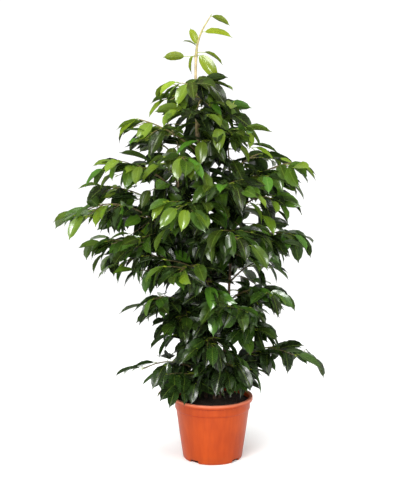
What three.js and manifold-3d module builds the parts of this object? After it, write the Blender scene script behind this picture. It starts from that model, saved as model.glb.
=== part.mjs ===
// A weeping fig (Ficus benjamina) grown as a bush in a thermoformed plastic nursery pot.
// Millimetres, +Z up. The origin is the centre of the pot's base, and the pot stands on Z = 0.
// The front of the plant looks along -Y. Three woody stems stand in the potting soil, and every
// leafy branch is a solid of its own: a limb, its side twigs, and leaves on their stalks.
import * as THREE from "three";
import { mergeVertices } from "three/addons/utils/BufferGeometryUtils.js";
import Module from "manifold-3d";

const wasm = await Module();
wasm.setup();

// Driving dimensions of the pot
const POT_HEIGHT = 165;
const POT_BASE_RADIUS = 78;
const POT_WALL_TOP_RADIUS = 96.2; // where the plain wall meets the stepped band
const BAND_RADIUS = 98.6;
const BAND_FOOT = 132;
const LIP_RADIUS = 105;
const LIP_FOOT = 154;
const WALL = 1.5;
const FLOOR = 1.8;
const POT_SIDES = 32;
const DRAIN_COUNT = 4;
const DRAIN_TURN = 50.75; // degrees from the front, to the right
const DRAIN_WIDTH = 28;
const DRAIN_HEIGHT = 8.5;
const DRAIN_DEPTH = 9;
const DRAIN_SLOT = 4.5;

// Driving dimensions of the soil
const SOIL_TOP = 150;
const SOIL_SIDES = 20;
const SOIL_MOUND = 4;
const SOIL_BUMP = 1.6;
const SEAT_GAP = 0.3; // clearance that touching solids keep

// Each stem: its foot and top on plan, two handles between them, its top's height and its radii.
const STEM_FOOT = 70;
const STEMS = [
  { name: "stem_main", plan: [[2, -2], [26, 4], [-52, 2], [-43, 0]], top: 1035, thick: 6.5, thin: 3.3 },
  { name: "stem_left", plan: [[-7, 9], [-30, 16], [-96, 26], [-88, 8]], top: 800, thick: 4.8, thin: 1.8 },
  { name: "stem_right", plan: [[11, 7], [34, 4], [66, 22], [34, 26]], top: 850, thick: 4.8, thin: 1.8 },
];
const STEM_SIDES = 7;
const STEM_STEPS = 10;

// Where the branches end: to the right, to the back, height, how full each is, and its draws' seed.
const TIPS = {
  left: [
    [-99, 22, 968, 0.9, 408], [-184, -51, 882, 0.8, 314], [-168, 74, 828, 0.8, 509], [-243, -70, 774, 1, 191],
    [-285, 70, 703, 1, 509], [-340, -77, 647, 0.7, 951], [-263, 112, 637, 0.9, 1], [-280, -24, 559, 0.9, 116],
    [-267, 90, 514, 0.7, 626], [-149, -99, 438, 0.8, 636], [-136, 79, 395, 0.7, 168], [-94, -97, 371, 1, 627],
    [-96, 70, 315, 1, 152], [-183, -12, 236, 0.5, 383], [-105, -88, 214, 1, 480],
  ],
  right: [
    [-35, -37, 985, 1, 457], [32, 67, 913, 1, 63], [74, -45, 856, 1, 18], [144, 76, 791, 1, 835],
    [199, -70, 777, 0.8, 590], [168, 109, 717, 1, 610], [159, -70, 680, 1, 30], [214, 36, 579, 1, 23],
    [140, -63, 577, 1, 894], [140, 115, 502, 0.7, 43], [148, -66, 446, 1, 973], [114, 80, 394, 1, 84],
    [106, -79, 356, 1, 417], [262, 35, 248, 0.5, 398], [66, -93, 239, 1, 30], [75, 90, 245, 1, 547],
  ],
  front: [
    [-53, -82, 970, 1, 327], [-43, -106, 904, 1, 344], [42, -130, 848, 1, 902], [-81, -160, 790, 1, 66],
    [56, -192, 720, 1, 899], [-66, -209, 669, 1, 79], [56, -215, 601, 1, 580], [-89, -208, 515, 1, 65],
    [59, -192, 430, 1, 955], [-16, -166, 332, 1, 144], [33, -113, 252, 1, 532],
  ],
  back: [
    [-9, 77, 952, 1, 376], [-45, 115, 900, 1, 154], [27, 140, 804, 1, 956], [-114, 180, 751, 1, 469],
    [92, 204, 637, 1, 600], [-83, 216, 564, 1, 243], [58, 209, 483, 1, 518], [-23, 195, 396, 1, 512],
    [44, 166, 318, 1, 167], [-37, 131, 241, 1, 798],
  ],
};

// How a branch grows
const SLOPE_LOW = 0.1; // rise over run of the lowest and of the highest branches
const SLOPE_HIGH = 0.6;
const CROWN_LOW = 200;
const CROWN_HIGH = 950;
const BRANCHED = [0.12, 0.97]; // shares of a stem's height between which branches leave it
const USUAL_RUN = 90; // run of a branch by which its height on a stem is first guessed
const BRANCH_ARCH = 0.15; // height of the arch over the chord, as a share of the run
const ARCH_SWAY = 0.09;
const BRANCH_THICK = 2.4; // radii of a limb at its root and at its tip, and of a side twig
const BRANCH_THIN = 1.4;
const LIMB_SIDES = 3;
const TWIG_SIDES = 3;
const TWIG_THICK = 1.1;
const TWIG_THIN = 0.9;
const TWIG_FIRST = 0.14; // share of the branch that stays bare of side twigs
const TWIG_SPACING = 28;
const TWIG_ANGLE = 38;
const TWIG_SHARE = 0.4; // length of a side twig, as a share of the limb beyond it
const TWIG_LEAST = 30;
const TWIG_MOST = 110;
const TWIG_SAG = 0.1; // fall of a side twig over its length
const TWIG_SWAY = 0.42;
const LEAF_SPACING = 16.5;
const LIMB_LEAF_FIRST = 0.1; // where the first and last leaves grow, as shares of the length
const TWIG_LEAF_FIRST = 0.2;
const LEAF_LAST = 0.96;
const LEADER_TURN = 152; // degrees from each leaf of an upright shoot to the next
const LEADER_EASE = 2; // how late an upright shoot leans out
const TOP_SHOOT = "leader_main";
const LEADERS = [
  { name: TOP_SHOOT, stem: 0, lean: [36, -4], rise: 100, seed: 53 },
  { name: "leader_left", stem: 1, lean: [-24, 10], rise: 66, seed: 151 },
  { name: "leader_right", stem: 2, lean: [19, 26], rise: 70, seed: 29 },
];

// The leaves of the topmost shoot: place along it, heading, fall, roll, size and stalk.
const TOP_LEAVES = [
  [0.98, 7, 17, 33, 0.68, 8], [0.6, -18, 2, -34, 0.98, 10], [0.31, 150, -74, 40, 0.62, 8],
  [0.27, 160, -38, -10, 0.5, 9], [0, 176, -2, -65, 0.72, 42], [0.1, -6, 20, 19, 0.78, 26],
  [0.02, -18, 48, -62, 1, 10], [0.01, 190, 74, 20, 0.62, 14],
];

// The leaf
const LEAF_LENGTH = 74;
const LEAF_WIDTH = 36;
const LEAF_THICK = 0.8;
const STALK_LENGTH = 14;
const STALK_RADIUS = 0.95;
const LEAF_ANGLE = 38; // degrees that a leaf stands away from its twig
const LEAF_FOLD = 16; // degrees that each half rises from the midrib
const LEAF_BEND = 32; // degrees that the blade curves down along its length
const DROOP_LOW = 30; // degrees below the level of the lowest and of the highest leaves
const DROOP_HIGH = 17;
const DROOP_EASE = 0.3; // share of that fall that a shoot's outermost leaf is spared
const SHOULDER = 0.42; // where the blade is widest, and where its tail begins, along its length
const TAIL = 0.82;
const TAIL_WIDTH = 0.56;

// The solids carry the outermost leaves of each branch, fewer than grow, evenly on all sides.
const LEAVES_LEAST = 2.75;
const LEAVES_PER = 112; // length of branch that brings one more
const CLEARANCE = 0.5; // what a solid leaf or twig keeps to all others

const COLOURS = {
  pot: new THREE.MeshStandardMaterial({ color: 0xd9582b, roughness: 0.45, metalness: 0 }),
  soil: new THREE.MeshStandardMaterial({ color: 0x2b1d14, roughness: 0.95, metalness: 0 }),
  bark: new THREE.MeshStandardMaterial({ color: 0x5b4636, roughness: 0.8, metalness: 0 }),
  leaf: new THREE.MeshStandardMaterial({ color: 0x2e5a1c, roughness: 0.35, metalness: 0 }),
};

const radians = THREE.MathUtils.degToRad;
const mix = THREE.MathUtils.lerp;
const clamp = THREE.MathUtils.clamp;
const vec = (x, y, z) => new THREE.Vector3(x, y, z);

// A seeded stream of numbers from 0 to 1: the same seed always grows the same plant.
function seeded(seed) {
  let state = (seed * 2654435761) >>> 0;
  return () => {
    state = (Math.imul(state, 1664525) + 1013904223) >>> 0;
    return state / 4294967296;
  };
}
const around = (draw, spread) => (2 * draw() - 1) * spread;

// A closed solid from three.js geometry.
function solid(geometry) {
  const bare = geometry.index ? geometry.clone() : geometry;
  bare.deleteAttribute("normal");
  bare.deleteAttribute("uv");
  const merged = mergeVertices(bare, 1e-4);
  return new wasm.Manifold(
    new wasm.Mesh({
      numProp: 3,
      vertProperties: merged.attributes.position.array,
      triVerts: new Uint32Array(merged.index.array),
    }),
  );
}

// A closed solid from points and triangles.
function faceted(points, faces) {
  const geometry = new THREE.BufferGeometry().setFromPoints(points);
  geometry.setIndex(faces.flat());
  return solid(geometry);
}

// A named mesh from a closed solid.
function piece(name, made, material) {
  const mesh = made.getMesh();
  const positions = new Float32Array(mesh.numVert * 3);
  for (let i = 0; i < mesh.numVert; i++) {
    const at = i * mesh.numProp;
    positions.set(mesh.vertProperties.subarray(at, at + 3), i * 3);
  }
  const geometry = new THREE.BufferGeometry();
  geometry.setAttribute("position", new THREE.BufferAttribute(positions, 3));
  geometry.setIndex(new THREE.BufferAttribute(mesh.triVerts, 1));
  geometry.computeVertexNormals();
  const result = new THREE.Mesh(geometry, material);
  result.name = name;
  return result;
}

// A solid turned about +Z from a profile of [radius, height] pairs.
function turned(profile, sides) {
  const points = profile.map(([radius, height]) => new THREE.Vector2(radius, height));
  return solid(new THREE.LatheGeometry(points, sides).rotateX(Math.PI / 2));
}

// A tapering limb with flat sides round a line of points.
function limb(points, radii, sides) {
  const whole = points.at(-1).clone().sub(points[0]).normalize();
  const reference = Math.abs(whole.z) > 0.8 ? vec(1, 0, 0) : vec(0, 0, 1);
  const rings = points.flatMap((point, i) => {
    const before = points[Math.max(i - 1, 0)];
    const after = points[Math.min(i + 1, points.length - 1)];
    const along = after.clone().sub(before).normalize();
    const across = reference.clone().cross(along).normalize();
    const over = along.clone().cross(across);
    return Array.from({ length: sides }, (_, j) => {
      const turn = (2 * Math.PI * j) / sides;
      return point
        .clone()
        .addScaledVector(across, radii[i] * Math.cos(turn))
        .addScaledVector(over, radii[i] * Math.sin(turn));
    });
  });
  const faces = [];
  for (let i = 0; i < points.length - 1; i++) {
    for (let j = 0; j < sides; j++) {
      const [a, b] = [i * sides + j, i * sides + ((j + 1) % sides)];
      faces.push([a, b, b + sides], [a, b + sides, a + sides]);
    }
  }
  const last = (points.length - 1) * sides;
  for (let j = 1; j < sides - 1; j++) {
    faces.push([0, j + 1, j], [last, last + j, last + j + 1]);
  }
  return faceted(rings, faces);
}

// A block at the pot's bottom edge, grown on every side, in which a drain recess is cut.
function drainBlocks(grown) {
  const outside = 20;
  const depth = DRAIN_DEPTH + outside + grown;
  const block = new THREE.BoxGeometry(DRAIN_WIDTH + 2 * grown, depth, DRAIN_HEIGHT + grown + 1);
  block.translate(0, -(POT_BASE_RADIUS + outside - depth / 2), (DRAIN_HEIGHT + grown - 1) / 2);
  return Array.from({ length: DRAIN_COUNT }, (_, i) =>
    solid(block.clone().rotateZ(radians(DRAIN_TURN + (360 * i) / DRAIN_COUNT))),
  );
}

// The slots through the back of each drain recess.
function drainSlots() {
  const slot = new THREE.BoxGeometry(DRAIN_WIDTH - 8, DRAIN_DEPTH, DRAIN_SLOT);
  slot.translate(0, -(POT_BASE_RADIUS - DRAIN_DEPTH), FLOOR + DRAIN_SLOT / 2);
  return Array.from({ length: DRAIN_COUNT }, (_, i) =>
    solid(slot.clone().rotateZ(radians(DRAIN_TURN + (360 * i) / DRAIN_COUNT))),
  );
}

const cutAll = (body, tools) => tools.reduce((rest, tool) => rest.subtract(tool), body);

// The pot: a thin tapered cup with a stepped band under its lip, and drain recesses in its foot.
function makePot() {
  const outside = turned(
    [
      [0, 0], [POT_BASE_RADIUS - 4, 0], [POT_BASE_RADIUS, 4], [POT_WALL_TOP_RADIUS, BAND_FOOT],
      [BAND_RADIUS, BAND_FOOT + 2], [BAND_RADIUS, LIP_FOOT], [LIP_RADIUS, LIP_FOOT],
      [LIP_RADIUS, POT_HEIGHT], [0, POT_HEIGHT],
    ],
    POT_SIDES,
  );
  const inside = turned(
    [
      [0, FLOOR], [POT_BASE_RADIUS - 4, FLOOR], [POT_BASE_RADIUS - WALL, 4 + FLOOR],
      [POT_WALL_TOP_RADIUS - WALL, BAND_FOOT], [BAND_RADIUS - WALL, POT_HEIGHT],
      [BAND_RADIUS - WALL, POT_HEIGHT + 1], [0, POT_HEIGHT + 1],
    ],
    POT_SIDES,
  );
  const cavity = cutAll(inside, drainBlocks(WALL));
  return cutAll(outside, [...drainBlocks(0), cavity, ...drainSlots()]);
}

// The potting soil: it fills the pot to below the lip, with an uneven, slightly mounded top.
function makeSoil(holes) {
  const wallAt = (z) => mix(POT_BASE_RADIUS, POT_WALL_TOP_RADIUS, (z - 4) / (BAND_FOOT - 4)) - WALL;
  const clearOfWall = 0.75; // the pot's flats stand in by this much between its corners
  const foot = FLOOR + SEAT_GAP;
  const footRadius = POT_BASE_RADIUS - DRAIN_DEPTH - WALL - clearOfWall;
  const shoulder = DRAIN_HEIGHT + WALL + SEAT_GAP;
  const profile = [
    [0, foot], [footRadius, foot], [footRadius, shoulder], [wallAt(shoulder) - clearOfWall, shoulder + 2],
    [wallAt(BAND_FOOT) - clearOfWall, BAND_FOOT], [wallAt(BAND_FOOT) - clearOfWall, SOIL_TOP],
    [52, SOIL_TOP + SOIL_MOUND * 0.6], [24, SOIL_TOP + SOIL_MOUND],
    [0, SOIL_TOP + SOIL_MOUND],
  ];
  const points = profile.map(([radius, height]) => new THREE.Vector2(radius, height));
  const geometry = new THREE.LatheGeometry(points, SOIL_SIDES).rotateX(Math.PI / 2);
  const place = geometry.attributes.position;
  for (let i = 0; i < place.count; i++) {
    if (place.getZ(i) < SOIL_TOP + 0.5) continue;
    const [x, y] = [place.getX(i), place.getY(i)];
    place.setZ(i, place.getZ(i) + SOIL_BUMP * Math.sin(x / 9 + 1) * Math.cos(y / 11));
  }
  return cutAll(solid(geometry), holes);
}

// A stem's centre at a share of its height: a cubic curve on plan, climbing evenly.
function stemAt(stem, share) {
  const rest = 1 - share;
  const weights = [rest ** 3, 3 * rest * rest * share, 3 * rest * share * share, share ** 3];
  const on = (axis) => weights.reduce((sum, weight, i) => sum + weight * stem.plan[i][axis], 0);
  return vec(on(0), on(1), mix(STEM_FOOT, stem.top, share));
}

function makeStem(stem, grown) {
  const shares = Array.from({ length: STEM_STEPS + 1 }, (_, i) => i / STEM_STEPS);
  const points = shares.map((share) => stemAt(stem, share));
  const radii = shares.map((share) => mix(stem.thick, stem.thin, share) + grown);
  points[0].z -= grown;
  points.at(-1).z += grown;
  return limb(points, radii, STEM_SIDES);
}

// The joints of a shoot's centreline: straight steps to its tip, with an arch over the chord. It leans
// out by its share to the power ease, so that an upright shoot leaves its stem straight.
function shootJoints(start, tip, arch, steps, ease) {
  return Array.from({ length: steps + 1 }, (_, i) => {
    const share = i / steps;
    const out = share ** ease;
    const rise = 4 * arch * share * (1 - share);
    return vec(mix(start.x, tip.x, out), mix(start.y, tip.y, out), mix(start.z, tip.z, share) + rise);
  });
}

// The point at a share of the way along a shoot's joints.
function shootAt(shoot, share) {
  const steps = shoot.joints.length - 1;
  const step = Math.min(Math.floor(share * steps), steps - 1);
  return shoot.joints[step].clone().lerp(shoot.joints[step + 1], share * steps - step);
}

// The shoots and leaves of one branch. The first shoot is the limb, and the rest are side twigs.
function growBranch(name, stem, start, tip, upright, full, seed) {
  const draw = seeded(seed);
  const run = Math.hypot(tip.x - start.x, tip.y - start.y);
  const length = start.distanceTo(tip);
  const heading = Math.atan2(tip.y - start.y, tip.x - start.x);
  const arch = upright ? 0 : (BRANCH_ARCH + around(draw, ARCH_SWAY)) * run;
  const joints = shootJoints(start, tip, arch, ...(upright ? [3, LEADER_EASE] : [4, 1]));
  const radii = [BRANCH_THICK, BRANCH_THIN];
  const shoots = [{ joints, heading, length, upright, radii, sides: LIMB_SIDES }];
  const room = upright ? 0 : length * (1 - TWIG_FIRST) - TWIG_LEAST / 2;
  const twigs = Math.max(0, Math.round((full * room) / TWIG_SPACING));
  for (let i = 0; i < twigs; i++) {
    const share = TWIG_FIRST + ((1 - TWIG_FIRST) * (i + 0.25)) / twigs;
    const side = i % 2 ? -1 : 1;
    const turn = heading + side * radians(TWIG_ANGLE + around(draw, 12));
    const reach = clamp(TWIG_SHARE * length * (1 - share) + TWIG_LEAST, TWIG_LEAST, TWIG_MOST);
    const sag = reach * (TWIG_SAG + around(draw, TWIG_SWAY));
    const from = shootAt(shoots[0], share);
    const end = vec(from.x + reach * Math.cos(turn), from.y + reach * Math.sin(turn), from.z - sag);
    shoots.push({
      joints: [from, end],
      heading: turn,
      length: reach,
      upright: false,
      radii: [TWIG_THICK, TWIG_THIN],
      sides: TWIG_SIDES,
    });
  }
  const leaves = [];
  if (name === TOP_SHOOT) {
    for (const [share, turn, droop, roll, size, stalk] of TOP_LEAVES) {
      const root = shootAt(shoots[0], share);
      const angles = [turn, droop, roll].map(radians);
      leaves.push(leafAt(shoots[0], root, ...angles, size, stalk, true));
    }
    return { name, stem, length, shoots, leaves };
  }
  shoots.forEach((shoot, order) => {
    const first = order || upright ? TWIG_LEAF_FIRST : LIMB_LEAF_FIRST;
    const count = Math.max(1, Math.round((full * shoot.length * (1 - first)) / LEAF_SPACING));
    for (let k = 0; k <= count; k++) {
      leaves.push(growLeaf(shoot, mix(first, LEAF_LAST, k / count), k, k === count, draw));
    }
  });
  return { name, stem, length, shoots, leaves };
}

// A leaf from its stalk's root, its heading, its fall below the level, its roll and its size.
function leafAt(shoot, root, turn, droop, roll, size, stalk, last) {
  const level = vec(Math.cos(turn), Math.sin(turn), 0);
  const along = level.clone().multiplyScalar(Math.cos(droop)).setZ(-Math.sin(droop));
  const upper = level.clone().multiplyScalar(Math.sin(droop)).setZ(Math.cos(droop));
  const left = upper.clone().cross(along);
  return {
    shoot,
    root,
    last,
    base: root.clone().addScaledVector(level, stalk * size).add(vec(0, 0, 2)),
    along,
    upper: upper.multiplyScalar(Math.cos(roll)).addScaledVector(left, Math.sin(roll)),
    length: LEAF_LENGTH * size,
    width: LEAF_WIDTH * size,
  };
}

// One leaf of a shoot, by the rule and the branch's own draws.
function growLeaf(shoot, share, k, last, draw) {
  const root = shootAt(shoot, share);
  const side = k % 2 ? -1 : 1;
  const stand = last ? around(draw, 12) : side * (LEAF_ANGLE + around(draw, 16));
  const turn = shoot.upright
    ? radians(LEADER_TURN * k + around(draw, 14))
    : shoot.heading + radians(stand);
  const height = clamp((root.z - CROWN_LOW) / (CROWN_HIGH - CROWN_LOW), 0, 1);
  const fall = mix(DROOP_LOW, DROOP_HIGH, height) * (1 - DROOP_EASE * share * share);
  const droop = radians(fall + around(draw, 30));
  const roll = radians(around(draw, 34));
  const size = mix(0.82, 1.08, draw()) * (last ? 0.9 : 1);
  return leafAt(shoot, root, turn, droop, roll, size, STALK_LENGTH, last);
}

// A leaf as a solid: a three-sided stalk that opens into a blade, folded at its midrib and arched.
// grown makes it larger all round, for the test of what it would touch.
function makeLeaf(leaf, grown = 0) {
  const left = leaf.upper.clone().cross(leaf.along).normalize();
  const bend = radians(LEAF_BEND);
  const fold = radians(LEAF_FOLD);
  const half = LEAF_THICK / 2 + grown;
  const points = [];
  const put = (point) => points.push(point) - 1;
  // A pair of points, above and below, at a share of the length and a signed half width.
  const pair = (share, width) => {
    const angle = bend * share;
    const normal = leaf.along.clone().multiplyScalar(Math.sin(angle));
    normal.addScaledVector(leaf.upper, Math.cos(angle));
    const length = leaf.length + (share === 1 ? 2 * grown : 0);
    const middle = leaf.base
      .clone()
      .addScaledVector(leaf.along, (length * Math.sin(angle)) / bend)
      .addScaledVector(leaf.upper, (-length * (1 - Math.cos(angle))) / bend)
      .addScaledVector(left, (width + Math.sign(width) * grown) * Math.cos(fold))
      .addScaledVector(normal, Math.abs(width) * Math.sin(fold));
    return [
      put(middle.clone().addScaledVector(normal, half)),
      put(middle.clone().addScaledVector(normal, -half)),
    ];
  };
  const [l1, L1] = pair(SHOULDER, leaf.width / 2);
  const [r1, R1] = pair(SHOULDER, -leaf.width / 2);
  const [l2, L2] = pair(TAIL, (leaf.width * TAIL_WIDTH) / 2);
  const [r2, R2] = pair(TAIL, (-leaf.width * TAIL_WIDTH) / 2);
  const [m, M] = pair((SHOULDER + TAIL) / 2, 0);
  const [t, T] = pair(1, 0);
  // The stalk's three corners, at its root in the twig and where the blade begins.
  const corners = (at, radius) => [
    put(at.clone().addScaledVector(left, radius).addScaledVector(leaf.upper, radius * 0.5)),
    put(at.clone().addScaledVector(left, -radius).addScaledVector(leaf.upper, radius * 0.5)),
    put(at.clone().addScaledVector(leaf.upper, -radius)),
  ];
  const [al, ar, ab] = corners(leaf.root, STALK_RADIUS * 0.3 + grown);
  const [pl, pr, pb] = corners(leaf.base, STALK_RADIUS + grown);
  return faceted(points, [
    [pr, m, pl], [pl, m, l1], [l1, m, l2], [l2, m, t], [pr, r1, m], [r1, r2, m], [r2, t, m],
    [pb, L1, M], [L1, L2, M], [L2, T, M], [pb, M, R1], [R1, M, R2], [R2, M, T],
    [pl, l1, L1], [pl, L1, pb], [l1, l2, L2], [l1, L2, L1], [l2, t, T], [l2, T, L2],
    [pr, R1, r1], [pr, pb, R1], [r1, R2, r2], [r1, R1, R2], [r2, T, t], [r2, R2, T],
    [ar, pr, pl], [ar, pl, al], [al, pl, pb], [al, pb, ab], [ar, pb, pr], [ar, ab, pb],
    [al, ab, ar],
  ]);
}

function makeShoot({ joints, radii, sides }, grown = 0) {
  const at = joints.map((_, i) => mix(...radii, i / (joints.length - 1)) + grown);
  return limb(joints, at, sides);
}

// Every branch of the plant. Each rises from whichever stem it can leave at its own slope.
function growPlant() {
  const branches = [];
  const grow = (name, x, y, z, full, seed) => {
    const height = clamp((z - CROWN_LOW) / (CROWN_HIGH - CROWN_LOW), 0, 1);
    const slope = mix(SLOPE_LOW, SLOPE_HIGH, height);
    const ways = STEMS.map((stem) => {
      const shareAt = (drop) => (z - drop - STEM_FOOT) / (stem.top - STEM_FOOT);
      const from = (drop) => stemAt(stem, clamp(shareAt(drop), ...BRANCHED));
      const there = from(slope * USUAL_RUN);
      const run = Math.hypot(x - there.x, y - there.y);
      const start = from(slope * run);
      return { stem, start, effort: run + Math.abs(start.z + slope * run - z) };
    });
    const { stem, start } = ways.sort((a, b) => a.effort - b.effort)[0];
    branches.push(growBranch(name, stem, start, vec(x, y, z), false, full, seed));
  };
  for (const [face, tips] of Object.entries(TIPS)) {
    tips.forEach((tip, i) => {
      grow("branch_" + face + "_" + String(i + 1).padStart(2, "0"), ...tip);
    });
  }
  for (const { name, stem, lean, rise, seed } of LEADERS) {
    const start = stemAt(STEMS[stem], 1);
    const tip = start.clone().add(vec(...lean, rise));
    branches.push(growBranch(name, STEMS[stem], start, tip, true, 1, seed));
  }
  return branches;
}

function boxOf(made) {
  const { min, max } = made.boundingBox();
  return new THREE.Box3(vec(...min), vec(...max));
}

// Everything that stands so far, each solid with the stem or shoot that it belongs to.
const standing = [];

function stand(owner, made) {
  standing.push({ owner, made, box: boxOf(made) });
  return made;
}

// True if a solid meets nothing that stands, apart from what it grows from.
function isClear(probe, root) {
  const box = boxOf(probe);
  return !standing.some(
    (other) =>
      other.owner !== root && other.box.intersectsBox(box) && !probe.intersect(other.made).isEmpty(),
  );
}

// The side twigs that find room among the limbs get a solid, and the others are left out.
function standTwigs(branch) {
  for (const shoot of branch.shoots.slice(1)) {
    if (isClear(makeShoot(shoot, CLEARANCE), branch.shoots[0])) {
      shoot.solid = stand(shoot, makeShoot(shoot));
    }
  }
}

// The leaves in the order that they're wanted: the shoots' last leaves, by turns with the limb's.
function leavesInOrder(branch) {
  const open = branch.leaves.filter((leaf) => leaf.shoot.solid);
  const ends = open.filter((leaf) => leaf.last);
  const inner = open.filter((leaf) => !leaf.last && leaf.shoot === branch.shoots[0]).reverse();
  const wanted = ends.splice(0, 1);
  while (ends.length || inner.length) {
    wanted.push(...ends.splice(0, 2), ...inner.splice(0, 1));
    inner.shift();
  }
  return wanted;
}

// One branch as a single body: its limb, as many leaves as it may have, and their twigs.
function makeBranch(branch, sleeve) {
  const top = branch.name === TOP_SHOOT;
  const most = top ? TOP_LEAVES.length : Math.round(LEAVES_LEAST + branch.length / LEAVES_PER);
  const shoots = new Set([branch.shoots[0]]);
  const parts = [];
  for (const leaf of leavesInOrder(branch)) {
    if (parts.length < most && isClear(makeLeaf(leaf, CLEARANCE), leaf.shoot)) {
      parts.push(stand(leaf, makeLeaf(leaf)));
      shoots.add(leaf.shoot);
    }
  }
  const joined = wasm.Manifold.union([...parts, ...[...shoots].map((shoot) => shoot.solid)]);
  const bodies = joined.subtract(sleeve).simplify(0.05).decompose();
  return bodies.sort((a, b) => b.volume() - a.volume())[0];
}

const stems = STEMS.map((stem) => makeStem(stem, 0));
const sleeves = STEMS.map((stem) => stand(stem, makeStem(stem, SEAT_GAP)));
const branches = growPlant();
for (const { shoots } of branches) shoots[0].solid = stand(shoots[0], makeShoot(shoots[0]));
branches.forEach(standTwigs);

const plant = new THREE.Group();
plant.name = "potted_weeping_fig";
plant.add(piece("pot", makePot(), COLOURS.pot));
plant.add(piece("soil", makeSoil(sleeves), COLOURS.soil));
STEMS.forEach(({ name }, i) => plant.add(piece(name, stems[i], COLOURS.bark)));
for (const branch of branches) {
  const made = makeBranch(branch, sleeves[STEMS.indexOf(branch.stem)]);
  plant.add(piece(branch.name, made, COLOURS.leaf));
}

export default plant;
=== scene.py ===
"""A weeping fig in a moulded plastic nursery pot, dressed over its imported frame."""

import math

import bpy
import mathutils
import numpy as np
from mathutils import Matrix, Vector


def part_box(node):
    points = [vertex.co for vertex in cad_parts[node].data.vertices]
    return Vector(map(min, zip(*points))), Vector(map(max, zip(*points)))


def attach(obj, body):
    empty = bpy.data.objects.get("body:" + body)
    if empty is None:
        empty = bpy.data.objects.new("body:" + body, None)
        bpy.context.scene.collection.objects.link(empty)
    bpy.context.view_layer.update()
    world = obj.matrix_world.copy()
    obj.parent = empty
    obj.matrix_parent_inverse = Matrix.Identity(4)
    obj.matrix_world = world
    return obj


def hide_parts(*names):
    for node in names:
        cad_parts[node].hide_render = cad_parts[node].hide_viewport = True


bl_info = {
    "name": "Weeping Fig",
    "version": (1, 0, 0),
    "blender": (4, 5, 0),
    "location": "3D View > Sidebar > Weeping Fig",
    "description": "Grows a potted weeping fig over its packed frame",
    "category": "Object",
}

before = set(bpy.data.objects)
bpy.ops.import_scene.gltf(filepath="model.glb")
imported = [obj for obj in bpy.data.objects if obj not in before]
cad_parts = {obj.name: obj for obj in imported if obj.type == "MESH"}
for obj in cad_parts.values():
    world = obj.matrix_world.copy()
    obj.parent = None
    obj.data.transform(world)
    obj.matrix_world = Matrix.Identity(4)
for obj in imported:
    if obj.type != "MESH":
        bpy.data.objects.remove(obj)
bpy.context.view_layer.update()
POT_LOW, POT_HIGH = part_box("pot")
MM = 0.001

# The pot, in millimetres, as its solid has it.
BAND_FOOT = 132  # where the plain wall steps out to the band under the lip
WALL_TOP_RADIUS = 96.2
BAND_RADIUS = 98.6
LIP_FOOT = 154
WALL = 1.5
FLOOR = 1.8
DRAIN_TURN = -39.25  # degrees from +X to the first drain recess
DRAIN_WIDTH, DRAIN_HEIGHT, DRAIN_DEPTH, DRAIN_SLOT = 28, 8.5, 9, 4.5
SLOT_MARGIN, SLOT_DEPTH = 3.5, 1.2  # the slot's distance from the recess's sides, and how deep it shows
# Degrees from one column of the pot's points to the next, and places of more of them round a recess's sides.
COLUMN_STEP = 2.25
SIDE_COLUMNS = np.array([-1.4, -0.7, -0.3, 0.1, 0.5, 0.9])
POT_WAVER = 0.3  # how far the wall and lip depart from true, as thin plastic does
# Heights at which the painted shade in the creases begins, darkens and ends, with how dark, and the height of
# its colour ramp.
PAINTED_CREASE_SHADE = (
    (130.5, 0), (132.4, 0.7), (133.6, 0.5), (134.5, 0), (151.2, 0), (153.6, 0.95), (155.2, 0.7), (156.6, 0),
)
CREASE_SHADE_SPAN = 200
# Leaves keep out of the lip, the soil and the wall: from one radius to another, up to a height.
KEPT_CLEAR = ((94, 108, 168), (-1, 97, 157), (-1, 102, 150))

# The soil, in millimetres: its radius on top, and the radii and heights of its side and floor.
SOIL_SPOKES, SOIL_RINGS = 150, 46
SOIL_RADIUS = 95.6
SOIL_SIDE = np.array([[96.6, 148], [93.3, 128], [76.8, 13.5], [66, 11.2], [66, 2.6], [4, 2.6]])
CRUMBS, CRUMB_REACH, CRUMB_ROOM = 900, 94, 4

# The stems: foot and top on plan with two handles between them, height of the top, and radii.
STEM_FOOT = 70
STEMS = [
    {"name": name, "plan": plan, "top": top, "thick": thick, "thin": thin}
    for name, plan, top, thick, thin in (
        ("stem_main", [(2, -2), (26, 4), (-52, 2), (-43, 0)], 1035, 6.5, 3.3),
        ("stem_left", [(-7, 9), (-30, 16), (-96, 26), (-88, 8)], 800, 4.8, 1.8),
        ("stem_right", [(11, 7), (34, 4), (66, 22), (34, 26)], 850, 4.8, 1.8),
    )
]

STEM_RINGS, STEM_WAVER = 240, 0.05
BELL_RISE, BELL_REACH = 3, 7  # how far above a branch its stem swells most, and how far from there

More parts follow.
